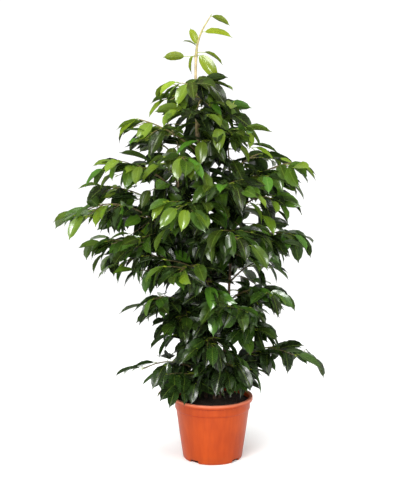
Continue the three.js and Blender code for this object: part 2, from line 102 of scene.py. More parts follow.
# Where the branches end: to the right, to the back and height, how full each is, and the seed of its draws.
TIPS = {
    "left": [
        (-99, 22, 968, 0.9, 408), (-184, -51, 882, 0.8, 314), (-168, 74, 828, 0.8, 509),
        (-243, -70, 774, 1, 191), (-285, 70, 703, 1, 509), (-340, -77, 647, 0.7, 951),
        (-263, 112, 637, 0.9, 1), (-280, -24, 559, 0.9, 116), (-267, 90, 514, 0.7, 626),
        (-149, -99, 438, 0.8, 636), (-136, 79, 395, 0.7, 168), (-94, -97, 371, 1, 627),
        (-96, 70, 315, 1, 152), (-183, -12, 236, 0.5, 383), (-105, -88, 214, 1, 480),
    ],
    "right": [
        (-35, -37, 985, 1, 457), (32, 67, 913, 1, 63), (74, -45, 856, 1, 18),
        (144, 76, 791, 1, 835), (199, -70, 777, 0.8, 590), (168, 109, 717, 1, 610),
        (159, -70, 680, 1, 30), (214, 36, 579, 1, 23), (140, -63, 577, 1, 894),
        (140, 115, 502, 0.7, 43), (148, -66, 446, 1, 973), (114, 80, 394, 1, 84),
        (106, -79, 356, 1, 417), (262, 35, 248, 0.5, 398), (66, -93, 239, 1, 30),
        (75, 90, 245, 1, 547),
    ],
    "front": [
        (-53, -82, 970, 1, 327), (-43, -106, 904, 1, 344), (42, -130, 848, 1, 902),
        (-81, -160, 790, 1, 66), (56, -192, 720, 1, 899), (-66, -209, 669, 1, 79),
        (56, -215, 601, 1, 580), (-89, -208, 515, 1, 65), (59, -192, 430, 1, 955),
        (-16, -166, 332, 1, 144), (33, -113, 252, 1, 532),
    ],
    "back": [
        (-9, 77, 952, 1, 376), (-45, 115, 900, 1, 154), (27, 140, 804, 1, 956),
        (-114, 180, 751, 1, 469), (92, 204, 637, 1, 600), (-83, 216, 564, 1, 243),
        (58, 209, 483, 1, 518), (-23, 195, 396, 1, 512), (44, 166, 318, 1, 167),
        (-37, 131, 241, 1, 798),
    ],
}

# How a branch grows, by the same rule and the same draws as the solids.
SLOPE_LOW, SLOPE_HIGH, FIRST_RUN = 0.1, 0.6, 90
CROWN_LOW, CROWN_HIGH = 200, 950
BRANCH_ARCH, ARCH_SWAY = 0.15, 0.09
BRANCH_THICK, BRANCH_THIN = 2.4, 1.4
TWIG_THICK, TWIG_THIN = 1.1, 0.9
TWIG_FIRST, TWIG_SPACING, TWIG_ANGLE, TWIG_SHARE = 0.14, 28, 38, 0.4
TWIG_LEAST, TWIG_MOST, TWIG_STRAY, TWIG_SAG, TWIG_SWAY, TWIG_BOW = 30, 110, 12, 0.1, 0.42, 0.04
LEAF_SPACING, LIMB_LEAF_FIRST, TWIG_LEAF_FIRST, LEAF_LAST = 16.5, 0.1, 0.2, 0.96
LEADER_TURN = 152
LEADER_EASE = 2
TOP_SHOOT = "leader_main"
LEADERS = [
    {"name": TOP_SHOOT, "stem": 0, "lean": (36, -4), "rise": 100, "seed": 53},
    {"name": "leader_left", "stem": 1, "lean": (-24, 10), "rise": 66, "seed": 151},
    {"name": "leader_right", "stem": 2, "lean": (19, 26), "rise": 70, "seed": 29},
]
# The leaves of the topmost shoot: place along it, heading, fall, roll, size and length of stalk.
TOP_LEAVES = [
    (0.98, 7, 17, 33, 0.68, 8), (0.6, -18, 2, -34, 0.98, 10), (0.31, 150, -74, 40, 0.62, 8),
    (0.27, 160, -38, -10, 0.5, 9), (0, 176, -2, -65, 0.72, 42), (0.1, -6, 20, 19, 0.78, 26),
    (0.02, -18, 48, -62, 1, 10), (0.01, 190, 74, 20, 0.62, 14),
]
LEAF_ANGLE = 38
DROOP_LOW, DROOP_HIGH, DROOP_EASE = 30, 17, 0.3
# How far a leaf strays from the rule, in degrees: heading of the last one, of the others and on an upright
# shoot, then fall and roll. Then how far a leaf that no solid stands for sways as well.
LAST_STRAY, SIDE_STRAY, UPRIGHT_STRAY, FALL_STRAY, ROLL_STRAY = 12, 16, 14, 30, 34
SWAY, SWAY_TRIES = (40, 30, 45), 5
SIZE_LOW, SIZE_HIGH, LAST_SIZE = 0.82, 1.08, 0.9
LEAVES_SHED = 0.1
# Inner leaves: millimetres of limb for each, at the crown's foot and at its top, the span of the limb that
# they grow on, how far they fall, how far they stray in heading, fall and roll, their sizes and stalks.
INNER_LOW, INNER_HIGH = 10, 19
INNER_FIRST, INNER_LAST = 0.06, 0.62
INNER_FALL, INNER_STRAY = 20, (150, 45, 45)
INNER_SMALL, INNER_LARGE, INNER_STALK, INNER_LONG = 0.8, 1.05, 16, 34
# Each branch has four streams of draws: its own seed, and that seed moved on by these.
INNER_DRAWS, FINISH_DRAWS, LOOSE_DRAWS = 500, 1000, 2000
# A leaf's curl as a share of the middling bend, its twist in degrees either way, and its lightness, which is
# painted light and shade: of an inner leaf at most, in painted shade, of one near the stems, darkened as in
# shade, and the painted light that the side adds at the crown's foot and more at its top.
CURL_LOW, CURL_HIGH, TWIST = 0.6, 1.4, 28
INNER_SHADE_TONE, MIDDLE_SHADE_TONE, SIDE_LIGHT_TONE, HIGH_LIGHT_TONE = 0.07, 0.14, 0.28, 0.34
# How young a leaf is at the top of the crown, how much more so at a tip, and on the topmost shoot.
YOUNG_TOP, YOUNG_TIP, YOUNG_SHOOT = 0.25, 0.28, 0.55
# How light and how young single leaves are made: their lightness is painted light, and the second ones are
# young as well. Then what counts in picking them, in millimetres nearer to the eye or farther from it: being
# turned to the eye, and each millimetre off the place.
LIT_LEAF_LOOK, LIT_YOUNG_LEAF_LOOK = (0.62, 0.0), (0.4, 0.3)
FACING_WORTH, PLACE_WORTH = 80, 6

# The camera's place in millimetres, its lens, the width of its film, and degrees that it looks down.
EYE = np.array([-32.9, -2700, 943.1])
LENS, FILM, LOOK_DOWN = 79.79, 36, 7.8
# Where the eye sees leaves painted bright, as where light falls on them, to the right and up, on the upright
# plane through the pot's axis.
LIT_LEAF_PLACES = [
    (0, 915), (95, 865), (5, 725), (-20, 770), (140, 705), (60, 920), (-75, 840), (-305, 730), (-200, 830),
    (-235, 645), (-75, 530), (30, 625), (-20, 605), (185, 575), (240, 570), (-10, 450), (55, 430), (-5, 340),
]
LIT_YOUNG_LEAF_PLACES = [
    (-210, 870), (-105, 910), (-115, 875), (-170, 835), (-80, 940), (-255, 695), (-200, 780), (-170, 640),
    (-305, 650), (-180, 595), (-70, 630), (-70, 470), (235, 770), (80, 805), (130, 675),
]
# Where the eye sees through the crown: to the right and up on that plane, and the gap's radius.
GAPS = np.array([
    (-140, 885, 13), (-85, 870, 9), (80, 835, 10), (-115, 805, 12), (-50, 805, 10), (-170, 800, 9),
    (50, 795, 14), (-120, 780, 7), (-100, 770, 10), (65, 765, 7), (145, 765, 11), (5, 760, 6),
    (-215, 740, 10), (-110, 735, 8), (-270, 730, 11), (-245, 725, 15), (-160, 700, 12), (-185, 690, 10),
    (95, 670, 9), (135, 660, 16), (-270, 660, 8), (-275, 645, 9), (100, 635, 9), (95, 615, 9),
    (-210, 590, 9), (65, 590, 7), (-150, 525, 8), (-190, 520, 7), (135, 495, 9), (100, 490, 9),
    (70, 480, 13), (145, 480, 13), (90, 465, 10), (35, 450, 8), (-105, 440, 9), (150, 365, 13),
    (95, 315, 9), (-100, 300, 9), (65, 295, 9), (45, 245, 9),
])

# The leaf's own surface: shares of its length, places across it, and the face that each is on.
LEAF_ROWS = np.array([0, 0.05, 0.18, 0.4, 0.62, 0.8, 0.9, 1.0])
LEAF_RING = np.array([1, 0.5, 0, -0.5, -1, -0.5, 0, 0.5])
LEAF_FACE = np.array([0, 1, 1, 1, 0, -1, -1, -1])
# A bud: how far along it each ring is from the shoot's end, and the rings' radii.
BUD_PLACES = np.array([-0.6, 1.5, 4.5, 9.0])
BUD_RADII = np.array([0.8, 1.15, 0.8, 0.1])
STALK_RADII = np.array([0.85, 0.7, 0.75])
STEM_SIDES, LIMB_SIDES, TWIG_SIDES, STALK_SIDES, BUD_SIDES = 18, 8, 6, 4, 5
SIDE_VEINS = 11
# What each leaf's faces tell its material: how light, by its own tone and by painted light and shade, how
# young, and whether they are its underside.
LEAF_VALUES = ("tone", "age", "under")
# What makes a mix node mix colours.
RGBA = {"data_type": "RGBA"}

# The stage, in metres: the floor's disc, and for each light its place and its width.
FLOOR_RADIUS, FLOOR_SIDES = 1.5, 96
LIGHTS_AIM = (0, 0, 0.6)
LIGHTS = {
    "key": ((-1.3, -2.3, 2.6), 0.8),
    "fill": ((1.9, -2.6, 1.5), 0.6),
    "front": ((0.2, -3.2, 1.9), 0.5),
    "top": ((0, 0.3, 3.4), 3.0),
    "low": ((-0.5, -1.7, 0.8), 0.7),
    "glint": ((0.3, -1.2, 2.2), 0.6),
}
BACKDROP = 1.1


def linear(hex_colour, alpha=1.0):
    """An sRGB hex colour as linear red, green, blue and alpha."""
    channels = [int(hex_colour[i : i + 2], 16) / 255 for i in (1, 3, 5)]
    curve = [c / 12.92 if c <= 0.04045 else ((c + 0.055) / 1.055) ** 2.4 for c in channels]
    return (*curve, alpha)


def length_property(name, description, default):
    """A length in metres, shown in the scene's own units."""
    shown = {"unit": "LENGTH", "subtype": "DISTANCE", "precision": 4}
    return bpy.props.FloatProperty(name=name, description=description, default=default, min=0, **shown)


def colour_property(name, description, default):
    """A colour, from an sRGB hex value."""
    shown = {"size": 4, "min": 0, "max": 1, "subtype": "COLOR"}
    return bpy.props.FloatVectorProperty(name=name, description=description, default=linear(default), **shown)


def angle_property(name, description, degrees):
    """An angle, from degrees."""
    angle = math.radians(degrees)
    return bpy.props.FloatProperty(name=name, description=description, default=angle, subtype="ANGLE")


def power_property(name, description, default):
    """A light's power in watts."""
    return bpy.props.FloatProperty(name=name, description=description, default=default, min=0, unit="POWER")


class PotSettings(bpy.types.PropertyGroup):
    """Sizes and colours of the pot."""

    height: length_property("Height", "From the ground to the top of the lip", POT_HIGH[2])
    lip_radius: length_property("Lip radius", "Half the width across the lip", (POT_HIGH[0] - POT_LOW[0]) / 2)
    base_radius: length_property("Base radius", "Half the width across the foot of the wall", 0.078)
    colour: colour_property("Colour", "Terracotta-coloured plastic", "#b0450f")
    shade: colour_property("Shade", "The same plastic where the sheet is thicker", "#9e390d")
    # The rim colour is a painted highlight along the top of the lip.
    rim: colour_property("Rim", "Chalky, stretched plastic along the lip", "#e08668")


class SoilSettings(bpy.types.PropertyGroup):
    """Sizes and colours of the potting soil."""

    top: length_property("Top", "Height of the soil beside the pot's wall", 0.150)
    mound: length_property("Mound", "Rise of the soil towards the stems", 0.004)
    crumb: length_property("Crumb", "Radius of the largest crumbs", 0.0034)
    wet: colour_property("Moist", "Moist peat", "#17100b")
    dry: colour_property("Dry", "Drier fibres on top", "#3d2c1e")


class StemSettings(bpy.types.PropertyGroup):
    """Sizes and colours of the woody stems."""

    swelling: length_property("Swelling", "How far the stem swells where a branch leaves it", 0.0009)
    old: colour_property("Old bark", "Bark near the soil", "#4a3024")
    middle: colour_property("Grown bark", "Bark at half height", "#6b5238")
    young: colour_property("Young bark", "Bark of the newest wood", "#cdb98a")


class FoliageSettings(bpy.types.PropertyGroup):
    """Sizes and colours of the leaves and twigs."""

    length: length_property("Leaf length", "Length of a middling leaf's blade", 0.074)
    width: length_property("Leaf width", "Width of a middling leaf's blade", 0.036)
    stalk: length_property("Stalk", "Length of a leaf's stalk", 0.014)
    fold: angle_property("Fold", "Rise of each half from the midrib", 20)
    bend: angle_property("Bend", "Downward curve along the blade", 32)
    # The old leaf's dark green is also the painted shade of the leaves inside and in the middle of the crown.
    dark: colour_property("Old leaf", "Dark green of the oldest leaves", "#0c130a")
    green: colour_property("Leaf", "Green of the grown leaves", "#528424")
    young: colour_property("Young leaf", "Yellow-green of the newest leaves", "#93a322")
    under: colour_property("Underside", "Paler, duller green beneath", "#3f5a2a")
    twig: colour_property("Twig", "Green-brown skin of the twigs", "#5f5334")


class StageSettings(bpy.types.PropertyGroup):
    """The plain studio round the plant."""

    floor: colour_property("Floor", "Matt white paper", "#fbfbfa")
    room: bpy.props.FloatProperty(name="Room", description="Strength of light all round", default=0.22, min=0)
    key: power_property("Key", "Main light, from the left", 52)
    fill: power_property("Fill", "Softer light, from the right", 22)
    front: power_property("Front", "Light above the camera", 18)
    top: power_property("Top", "Broad light overhead", 125)
    low: power_property("Low", "Light near the floor", 18)
    glint: power_property("Glint", "Light that the leaves mirror", 16)


def add(material, kind, inputs=None, out=None, **settings):
    """Adds a node to a material: an input given as a socket is linked, and any other value is set.
    Gives the output of that name, or the first one in use."""
    tree = material.node_tree
    node = tree.nodes.new("ShaderNode" + kind)
    for key, value in settings.items():
        setattr(node, key, value)
    for key, value in (inputs or {}).items():
        if isinstance(value, bpy.types.NodeSocket):
            tree.links.new(value, node.inputs[key])
        else:
            node.inputs[key].default_value = value
    return node.outputs[out] if out else next((socket for socket in node.outputs if socket.enabled), None)


def blank(name):
    """A material with an empty node tree."""
    material = bpy.data.materials.new(name)
    material.use_nodes = True
    material.node_tree.nodes.clear()
    return material


def between(value, low, high, to_low=0, to_high=1):
    """Inputs of a map range node, which carries a value from one span to another and stops at its ends."""
    return {"Value": value, "From Min": low, "From Max": high, "To Min": to_low, "To Max": to_high}


def surfaced(material, inputs):
    """The material, with its surface shader and its output."""
    add(material, "OutputMaterial", {"Surface": add(material, "BsdfPrincipled", inputs)})
    return material


def pot_material(settings):
    """Vacuum-formed polypropylene, coloured through: a soft sheen, faint streaks where the sheet was
    stretched down the mould, a painted highlight along the top of the lip, and fine scuffs round the foot."""
    m = blank("vacuum-formed polypropylene")
    place = add(m, "TexCoord", out="Object")
    height = add(m, "SeparateXYZ", {0: place}, "Z")
    # Streaks 9 mm apart round the pot and ten times as long as they are wide.
    drawn = add(m, "Mapping", {"Vector": place, "Scale": (110, 110, 11)})
    streaks = add(m, "TexNoise", {"Vector": drawn, "Scale": 1, "Detail": 3})
    cloud = add(m, "TexNoise", {"Vector": place, "Scale": 14, "Detail": 2})
    uneven = add(m, "Mix", {"Factor": 0.5, "A": streaks, "B": cloud})
    depth = add(m, "MapRange", between(uneven, 0.36, 0.64))
    body = add(m, "Mix", {"Factor": depth, "A": settings.colour, "B": settings.shade}, **RGBA)
    # Painted highlight: the top of the lip is painted lighter, where light catches it.
    lip = add(m, "MapRange", between(height, 0.158, 0.1645, 0, 0.8))
    lip_highlight = add(m, "Mix", {"Factor": lip, "A": body, "B": settings.rim}, **RGBA)
    # Dust in specks of a millimetre, thickest on the lowest 20 mm.
    dust = add(m, "TexNoise", {"Vector": place, "Scale": 700, "Detail": 4})
    low = add(m, "MapRange", between(height, 0.022, 0))
    fleck = add(m, "MapRange", between(dust, 0.5, 0.75))
    soiled = add(m, "Math", {0: low, 1: fleck}, operation="MULTIPLY")
    dusty = add(m, "Mix", {"Factor": soiled, "A": lip_highlight, "B": linear("#6d4a38")}, **RGBA)
    # Painted shade 2 mm high in the creases, under the lip and where the wall steps out to the band.
    share = add(m, "Math", {0: height, 1: 1 / CREASE_SHADE_SPAN / MM}, operation="MULTIPLY")
    crease_shade = add(m, "ValToRGB", {"Fac": share})
    ramp = crease_shade.node.color_ramp.elements
    for at, depth in PAINTED_CREASE_SHADE:
        ramp.new(at / CREASE_SHADE_SPAN).color = (depth, depth, depth, 1)
    ramp[0].color = ramp[-1].color = (0, 0, 0, 1)
    crease_shaded = add(m, "Mix", {"Factor": crease_shade, "A": dusty, "B": linear("#8c2205")}, **RGBA)
    # Painted shade inside the drain recesses, 4 mm behind the wall's foot, dark as the shaded slots there.
    flat = add(m, "VectorMath", {0: place, 1: (1, 1, 0)}, operation="MULTIPLY")
    radius = add(m, "VectorMath", {0: flat}, operation="LENGTH")
    behind = add(m, "MapRange", between(radius, 0.0745, 0.0725))
    above = add(m, "MapRange", between(height, 0.0004, 0.0012))
    below = add(m, "MapRange", between(height, 0.0125, 0.0115))
    recess = add(m, "Math", {0: above, 1: below}, operation="MULTIPLY")
    painted_recess_shade = add(m, "Math", {0: recess, 1: behind}, operation="MULTIPLY")
    colour = add(m, "Mix", {"Factor": painted_recess_shade, "A": crease_shaded, "B": linear("#24100a")}, **RGBA)
    rough = add(m, "MapRange", between(uneven, 0.3, 0.7, 0.34, 0.44))
    # The streaks stand out by up to a fifth of a millimetre, with a grain of 3 mm and finer in them.
    grain = add(m, "TexNoise", {"Vector": place, "Scale": 330, "Detail": 5})
    relief = add(m, "Mix", {"Factor": 0.35, "A": streaks, "B": grain})
    bump = add(m, "Bump", {"Height": relief, "Strength": 0.25, "Distance": 0.0002})
    return surfaced(
        m, {"Base Color": colour, "Roughness": rough, "IOR": 1.49, "Specular IOR Level": 0.18, "Normal": bump}
    )


def soil_material(settings):
    """Moist peat with bark fibre: nearly black and matt, flecked with drier brown fibres."""
    m = blank("peat potting soil")
    place = add(m, "TexCoord", out="Object")
    # Fibres of 3 mm and grains of a millimetre.
    clumps = add(m, "TexNoise", {"Vector": place, "Scale": 300, "Detail": 6})
    grains = add(m, "TexVoronoi", {"Vector": place, "Scale": 900})
    both = add(m, "Mix", {"Factor": 0.35, "A": clumps, "B": grains})
    dry = add(m, "MapRange", between(both, 0.42, 0.68))
    colour = add(m, "Mix", {"Factor": dry, "A": settings.wet, "B": settings.dry}, **RGBA)
    bump = add(m, "Bump", {"Height": both, "Strength": 0.9, "Distance": 0.0012})
    return surfaced(m, {"Base Color": colour, "Roughness": 0.92, "Normal": bump})


def bark_material(settings):
    """Smooth fig bark: grey-brown and a little glossy, red-brown where it is old and tan-green where it
    is new, ringed with pale breathing pores a few millimetres wide."""
    m = blank("smooth fig bark")
    place = add(m, "TexCoord", out="Object")
    height = add(m, "SeparateXYZ", {0: place}, "Z")
    age = add(m, "MapRange", between(height, 0.15, 1.05))
    grown = add(m, "ValToRGB", {"Fac": age})
    ramp = grown.node.color_ramp.elements
    ramp[0].color, ramp[1].color = settings.old, settings.young
    ramp.new(0.5).color = settings.middle
    # Pores 4 mm wide and 1 mm high, and blotches of 15 mm.
    flat = add(m, "Mapping", {"Vector": place, "Scale": (260, 260, 900)})
    pores = add(m, "TexNoise", {"Vector": flat, "Scale": 1, "Detail": 2})
    pore = add(m, "MapRange", between(pores, 0.6, 0.7))
    blotch = add(m, "TexNoise", {"Vector": place, "Scale": 65, "Detail": 4})
    shade = add(m, "MapRange", between(blotch, 0.3, 0.7, 0.62, 1.15))
    aged = add(m, "VectorMath", {0: grown, "Scale": shade}, operation="SCALE")
    colour = add(m, "Mix", {"Factor": pore, "A": aged, "B": linear("#9c8663")}, **RGBA)
    relief = add(m, "Mix", {"Factor": 0.5, "A": pore, "B": blotch})
    bump = add(m, "Bump", {"Height": relief, "Strength": 0.6, "Distance": 0.0006})
    return surfaced(m, {"Base Color": colour, "Roughness": 0.58, "Normal": bump})


def twig_material(settings):
    """Young twig skin: thin green-brown bark with fine lengthwise cracks and a dull shine."""
    m = blank("young twig skin")
    place = add(m, "TexCoord", out="Object")
    height = add(m, "SeparateXYZ", {0: place}, "Z")
    high = add(m, "MapRange", between(height, 0.75, 1.1))
    fresh = add(m, "Mix", {"Factor": high, "A": settings.twig, "B": linear("#b0a468")}, **RGBA)
    # Cracks of 1 mm and blotches of 8 mm.
    cracks = add(m, "TexNoise", {"Vector": place, "Scale": 900, "Detail": 3})
    blotch = add(m, "TexNoise", {"Vector": place, "Scale": 120, "Detail": 2})
    shade = add(m, "MapRange", between(blotch, 0.3, 0.7, 0.65, 1.2))
    colour = add(m, "VectorMath", {0: fresh, "Scale": shade}, operation="SCALE")
    bump = add(m, "Bump", {"Height": cracks, "Strength": 0.5, "Distance": 0.0003})
    return surfaced(m, {"Base Color": colour, "Roughness": 0.5, "Normal": bump})


def leaf_material(settings):
    """Living fig leaf: dark green flesh under a waxy cuticle that takes sharp highlights. Midrib and
    side veins are paler, and the underside is dull."""
    m = blank("living fig leaf, waxy cuticle")
    tone, age, under = (add(m, "Attribute", out="Fac", attribute_name=key) for key in LEAF_VALUES)
    place = add(m, "TexCoord", out="Object")
    over = add(m, "SeparateXYZ", {0: add(m, "UVMap", uv_map="leaf")}, "X")
    centred = add(m, "Math", {0: over, 1: 0.5}, operation="SUBTRACT")
    across = add(m, "Math", {0: centred}, operation="ABSOLUTE")
    # The midrib is a twentieth of the width, and the side veins leave it at 50 degrees.
    midrib = add(m, "MapRange", between(across, 0.045, 0.015))
    leaning = add(m, "Math", {0: across, 1: -0.42, 2: over.node.outputs["Y"]}, operation="MULTIPLY_ADD")
    turns = add(m, "Math", {0: leaning, 1: 2 * math.pi * SIDE_VEINS}, operation="MULTIPLY")
    wave = add(m, "Math", {0: turns}, operation="COSINE")
    veins = add(m, "MapRange", between(wave, 0.55, 1))
    # Blotches of 20 mm, a third of a leaf.
    blotch = add(m, "TexNoise", {"Vector": place, "Scale": 50, "Detail": 3})
    # The leaf's lightness attribute holds its own tone together with painted light and shade: darker inside
    # and in the middle of the crown, lighter at the sides and top.
    uneven = add(m, "Math", {0: blotch, 1: 0.3, 2: tone}, operation="MULTIPLY_ADD")
    level = add(m, "Math", {0: uneven, 1: 0.15}, operation="SUBTRACT", use_clamp=True)
    grown = add(m, "Mix", {"Factor": level, "A": settings.dark, "B": settings.green}, **RGBA)
    aged = add(m, "Mix", {"Factor": age, "A": grown, "B": settings.young}, **RGBA)
    beneath = add(m, "Math", {0: under, 1: 0.3}, operation="MULTIPLY")
    sided = add(m, "Mix", {"Factor": beneath, "A": aged, "B": settings.under}, **RGBA)
    ribs = add(m, "Math", {0: veins, 1: 0.3, 2: midrib}, operation="MULTIPLY_ADD", use_clamp=True)
    paler = add(m, "Math", {0: ribs, 1: 0.22}, operation="MULTIPLY")
    colour = add(m, "Mix", {"Factor": paler, "A": sided, "B": linear("#86a03c")}, **RGBA)
    gloss = add(m, "MapRange", between(under, 0, 1, 0.2, 0.55))
    sheen = add(m, "Math", {0: blotch, 1: 0.14, 2: gloss}, operation="MULTIPLY_ADD")
    bump = add(m, "Bump", {"Height": ribs, "Strength": 0.4, "Distance": 0.0006})
    # The lowest leaves are the oldest, and carry the thickest wax. Those inside the crown, which have
    # the lowest tone, are dull with dust.
    height = add(m, "SeparateXYZ", {0: place}, "Z")
    thick = add(m, "MapRange", between(height, 0.25, 0.65, 1, 0.55))
    clean = add(m, "MapRange", between(tone, 0.1, 0.3, 0.25, 1))
    wax = add(m, "Math", {0: thick, 1: clean}, operation="MULTIPLY")
    flesh = {"Base Color": colour, "Roughness": sheen, "IOR": 1.45, "Specular IOR Level": 0.2, "Normal": bump}
    return surfaced(m, {**flesh, "Coat Weight": wax, "Coat IOR": 1.9, "Coat Roughness": 0.2})


def paper_material(settings):
    """Seamless background paper: matt and white, with a faint tooth, and lit a little from beneath so
    that shadows on it stay faint."""
    m = blank("seamless paper")
    place = add(m, "TexCoord", out="Object")
    tooth = add(m, "TexNoise", {"Vector": place, "Scale": 400})
    bump = add(m, "Bump", {"Height": tooth, "Strength": 0.05, "Distance": 0.0002})
    paper = {"Base Color": settings.floor, "Roughness": 0.95, "Specular IOR Level": 0.1, "Normal": bump}
    return surfaced(m, {**paper, "Emission Color": (1, 1, 1, 1), "Emission Strength": 0.15})


class Draws:
    """A seeded stream of numbers from 0 to 1."""

    def __init__(self, seed):
        self.state = (seed * 2654435761) & 0xFFFFFFFF

    def __call__(self):
        self.state = (self.state * 1664525 + 1013904223) & 0xFFFFFFFF
        return self.state / 4294967296

    def around(self, spread):
        """A number from the spread below 0 to the spread above it."""
        return (2 * self() - 1) * spread


def mix(low, high, share):
    """The value at a share of the way from low to high."""
    return low * (1 - share) + high * share


def clamp(value, low, high):
    """The value, or the limit that it passes."""
    return max(low, min(high, value))


def smooth_step(value):
    """Zero below 0, one above 1, and three squares less two cubes between them."""
    value = np.clip(value, 0, 1)
    return value * value * (3 - 2 * value)


def ripple(points, size, seed):
    """Unevenness from about -1 to 1: twice the mean of nine plane waves of seeded directions. The waves are
    about size long."""
    draw = Draws(seed)
    total = 0
    for _ in range(9):
        ahead = np.array([draw.around(1), draw.around(1), draw.around(1)])
        ahead *= 2 * np.pi / (size * np.linalg.norm(ahead)) * mix(0.6, 1.7, draw())
        total = total + np.sin(points @ ahead + 2 * np.pi * draw())
    return total / 4.5


def crown_height(z):
    """Where a height is in the crown, from 0 at its lowest branches to 1 at its highest."""
    return clamp((z - CROWN_LOW) / (CROWN_HIGH - CROWN_LOW), 0, 1)


def stem_at(stem, share):
    """A stem's centre at a share of its height: a cubic curve on plan, climbing evenly."""
    rest = 1 - share
    weights = (rest**3, 3 * rest * rest * share, 3 * rest * share * share, share**3)
    x, y = (sum(w * p[axis] for w, p in zip(weights, stem["plan"])) for axis in (0, 1))
    return np.stack([x, y, mix(STEM_FOOT, stem["top"], share)], -1)


def stem_share(stem, height):
    """The share of a stem's height at a height, kept off the stem's ends."""
    return clamp((height - STEM_FOOT) / (stem["top"] - STEM_FOOT), 0.12, 0.97)


def shoot_joints(start, tip, arch, steps, ease):
    """Joints of a shoot: even steps from its start to its tip, with a parabola's rise over the chord.
    It leans out by its share to the power ease, so that an upright shoot leaves its stem straight."""
    share = np.linspace(0, 1, steps + 1)[:, None]
    joints = start + (tip - start) * share ** np.array([ease, ease, 1])
    joints[:, 2] += (4 * arch * share * (1 - share))[:, 0]
    return joints


def shoot_at(shoot, share):
    """The point at a share of the way along a shoot's straight steps."""
    joints = shoot["joints"]
    steps = len(joints) - 1
    step = min(math.floor(share * steps), steps - 1)
    return mix(joints[step], joints[step + 1], share * steps - step)


def on_line(shoot, share):
    """The point at a share of the way along a shoot's smooth line."""
    line = shoot["line"]
    at = share * (len(line) - 1)
    step = min(math.floor(at), len(line) - 2)
    return mix(line[step], line[step + 1], at - step)


def leaf_at(shoot, share, turn, droop, roll, size, stalk, last, settings):
    """A leaf from its place on the shoot, heading, fall below the level, roll, size and stalk."""
    level = np.array([math.cos(turn), math.sin(turn), 0])
    up = np.array([0, 0, 1])
    along = level * math.cos(droop) - up * math.sin(droop)
    upper = level * math.sin(droop) + up * math.cos(droop)
    left = np.cross(upper, along)
    return {
        "root": on_line(shoot, share),
        "base": shoot_at(shoot, share) + level * stalk * size + up * 2,
        "along": along,
        "upper": upper * math.cos(roll) + left * math.sin(roll),
        "length": settings.length / MM * size,
        "width": settings.width / MM * size,
        "last": last,
    }


def grow_leaf(shoot, share, k, last, draw, loose, settings):
    """One leaf of a shoot, by the rule and the branch's own draws. A leaf that no solid stands for sways
    further from the rule, by the loose draws, until it is clear of the gaps; else there is none."""
    side = -1 if k % 2 else 1
    stand = draw.around(LAST_STRAY) if last else side * (LEAF_ANGLE + draw.around(SIDE_STRAY))
    if shoot["upright"]:
        turn = math.radians(LEADER_TURN * k + draw.around(UPRIGHT_STRAY))
    else:
        turn = shoot["heading"] + math.radians(stand)
    height = crown_height(shoot_at(shoot, share)[2])
    fall = mix(DROOP_LOW, DROOP_HIGH, height) * (1 - DROOP_EASE * share * share)
    droop = math.radians(fall + draw.around(FALL_STRAY))
    roll = math.radians(draw.around(ROLL_STRAY))
    size = mix(SIZE_LOW, SIZE_HIGH, draw()) * (LAST_SIZE if last else 1)
    for _ in range(SWAY_TRIES if loose else 1):
        sway = [math.radians(loose.around(most)) if loose else 0 for most in SWAY]
        way = turn + sway[0], droop + sway[1], roll + sway[2]
        leaf = leaf_at(shoot, share, *way, size, settings.stalk / MM, last, settings)
        if not loose or is_clear_of_gaps(leaf):
            return leaf
    return None


def make_line(shoot, bow):
    """Gives a shoot its smooth line through its joints. The middle of a straight twig rises by the bow."""
    joints = shoot["joints"]
    if len(joints) == 2:
        middle = (joints[0] + joints[1]) / 2 + np.array([0, 0, bow])
        joints = np.stack([joints[0], middle, joints[1]])
    shoot["line"] = smooth_line(joints, 4)


def grow_twigs(limb, full, draw):
    """The side twigs of a limb, to its left and right by turns, and shorter towards its tip."""
    twigs = []
    room = limb["length"] * (1 - TWIG_FIRST) - TWIG_LEAST / 2
    count = max(0, math.floor(full * room / TWIG_SPACING + 0.5))
    for i in range(count):
        share = TWIG_FIRST + ((1 - TWIG_FIRST) * (i + 0.25)) / count
        side = -1 if i % 2 else 1
        turn = limb["heading"] + side * math.radians(TWIG_ANGLE + draw.around(TWIG_STRAY))
        reach = clamp(TWIG_SHARE * limb["length"] * (1 - share) + TWIG_LEAST, TWIG_LEAST, TWIG_MOST)
        sag = reach * (TWIG_SAG + draw.around(TWIG_SWAY))
        begin = shoot_at(limb, share)
        end = begin + np.array([reach * math.cos(turn), reach * math.sin(turn), -sag])
        twig = {"joints": np.stack([begin, end]), "heading": turn, "length": reach, "upright": False}
        make_line(twig, TWIG_BOW * reach)
        twig["line"][0] = on_line(limb, share)
        twigs.append(twig)
    return twigs


def grow_top_leaves(shoot, settings):
    """The leaves of the topmost shoot, each placed on its own."""
    leaves = []
    for share, turn, droop, roll, size, stalk in TOP_LEAVES:
        way = (math.radians(angle) for angle in (turn, droop, roll))
        leaves.append(leaf_at(shoot, share, *way, size, stalk, True, settings))
    return leaves


def grow_leaves(shoots, full, draw, loose, settings):
    """The leaves of a branch, shoot by shoot. Solids may stand for those of an upright shoot, for those on
    the outer half of a limb and for the last one of each twig. The others sway, and some have been shed."""
    leaves = []
    for order, shoot in enumerate(shoots):
        first = TWIG_LEAF_FIRST if order or shoot["upright"] else LIMB_LEAF_FIRST
        count = max(1, math.floor(full * shoot["length"] * (1 - first) / LEAF_SPACING + 0.5))
        for k in range(count + 1):
            share = mix(first, LEAF_LAST, k / count)
            free = loose if k < count and (order or share < 0.5) and not shoot["upright"] else None
            leaf = grow_leaf(shoot, share, k, k == count, draw, free, settings)
            if leaf and (not free or free() > LEAVES_SHED):
                leaves.append(leaf)
    return leaves


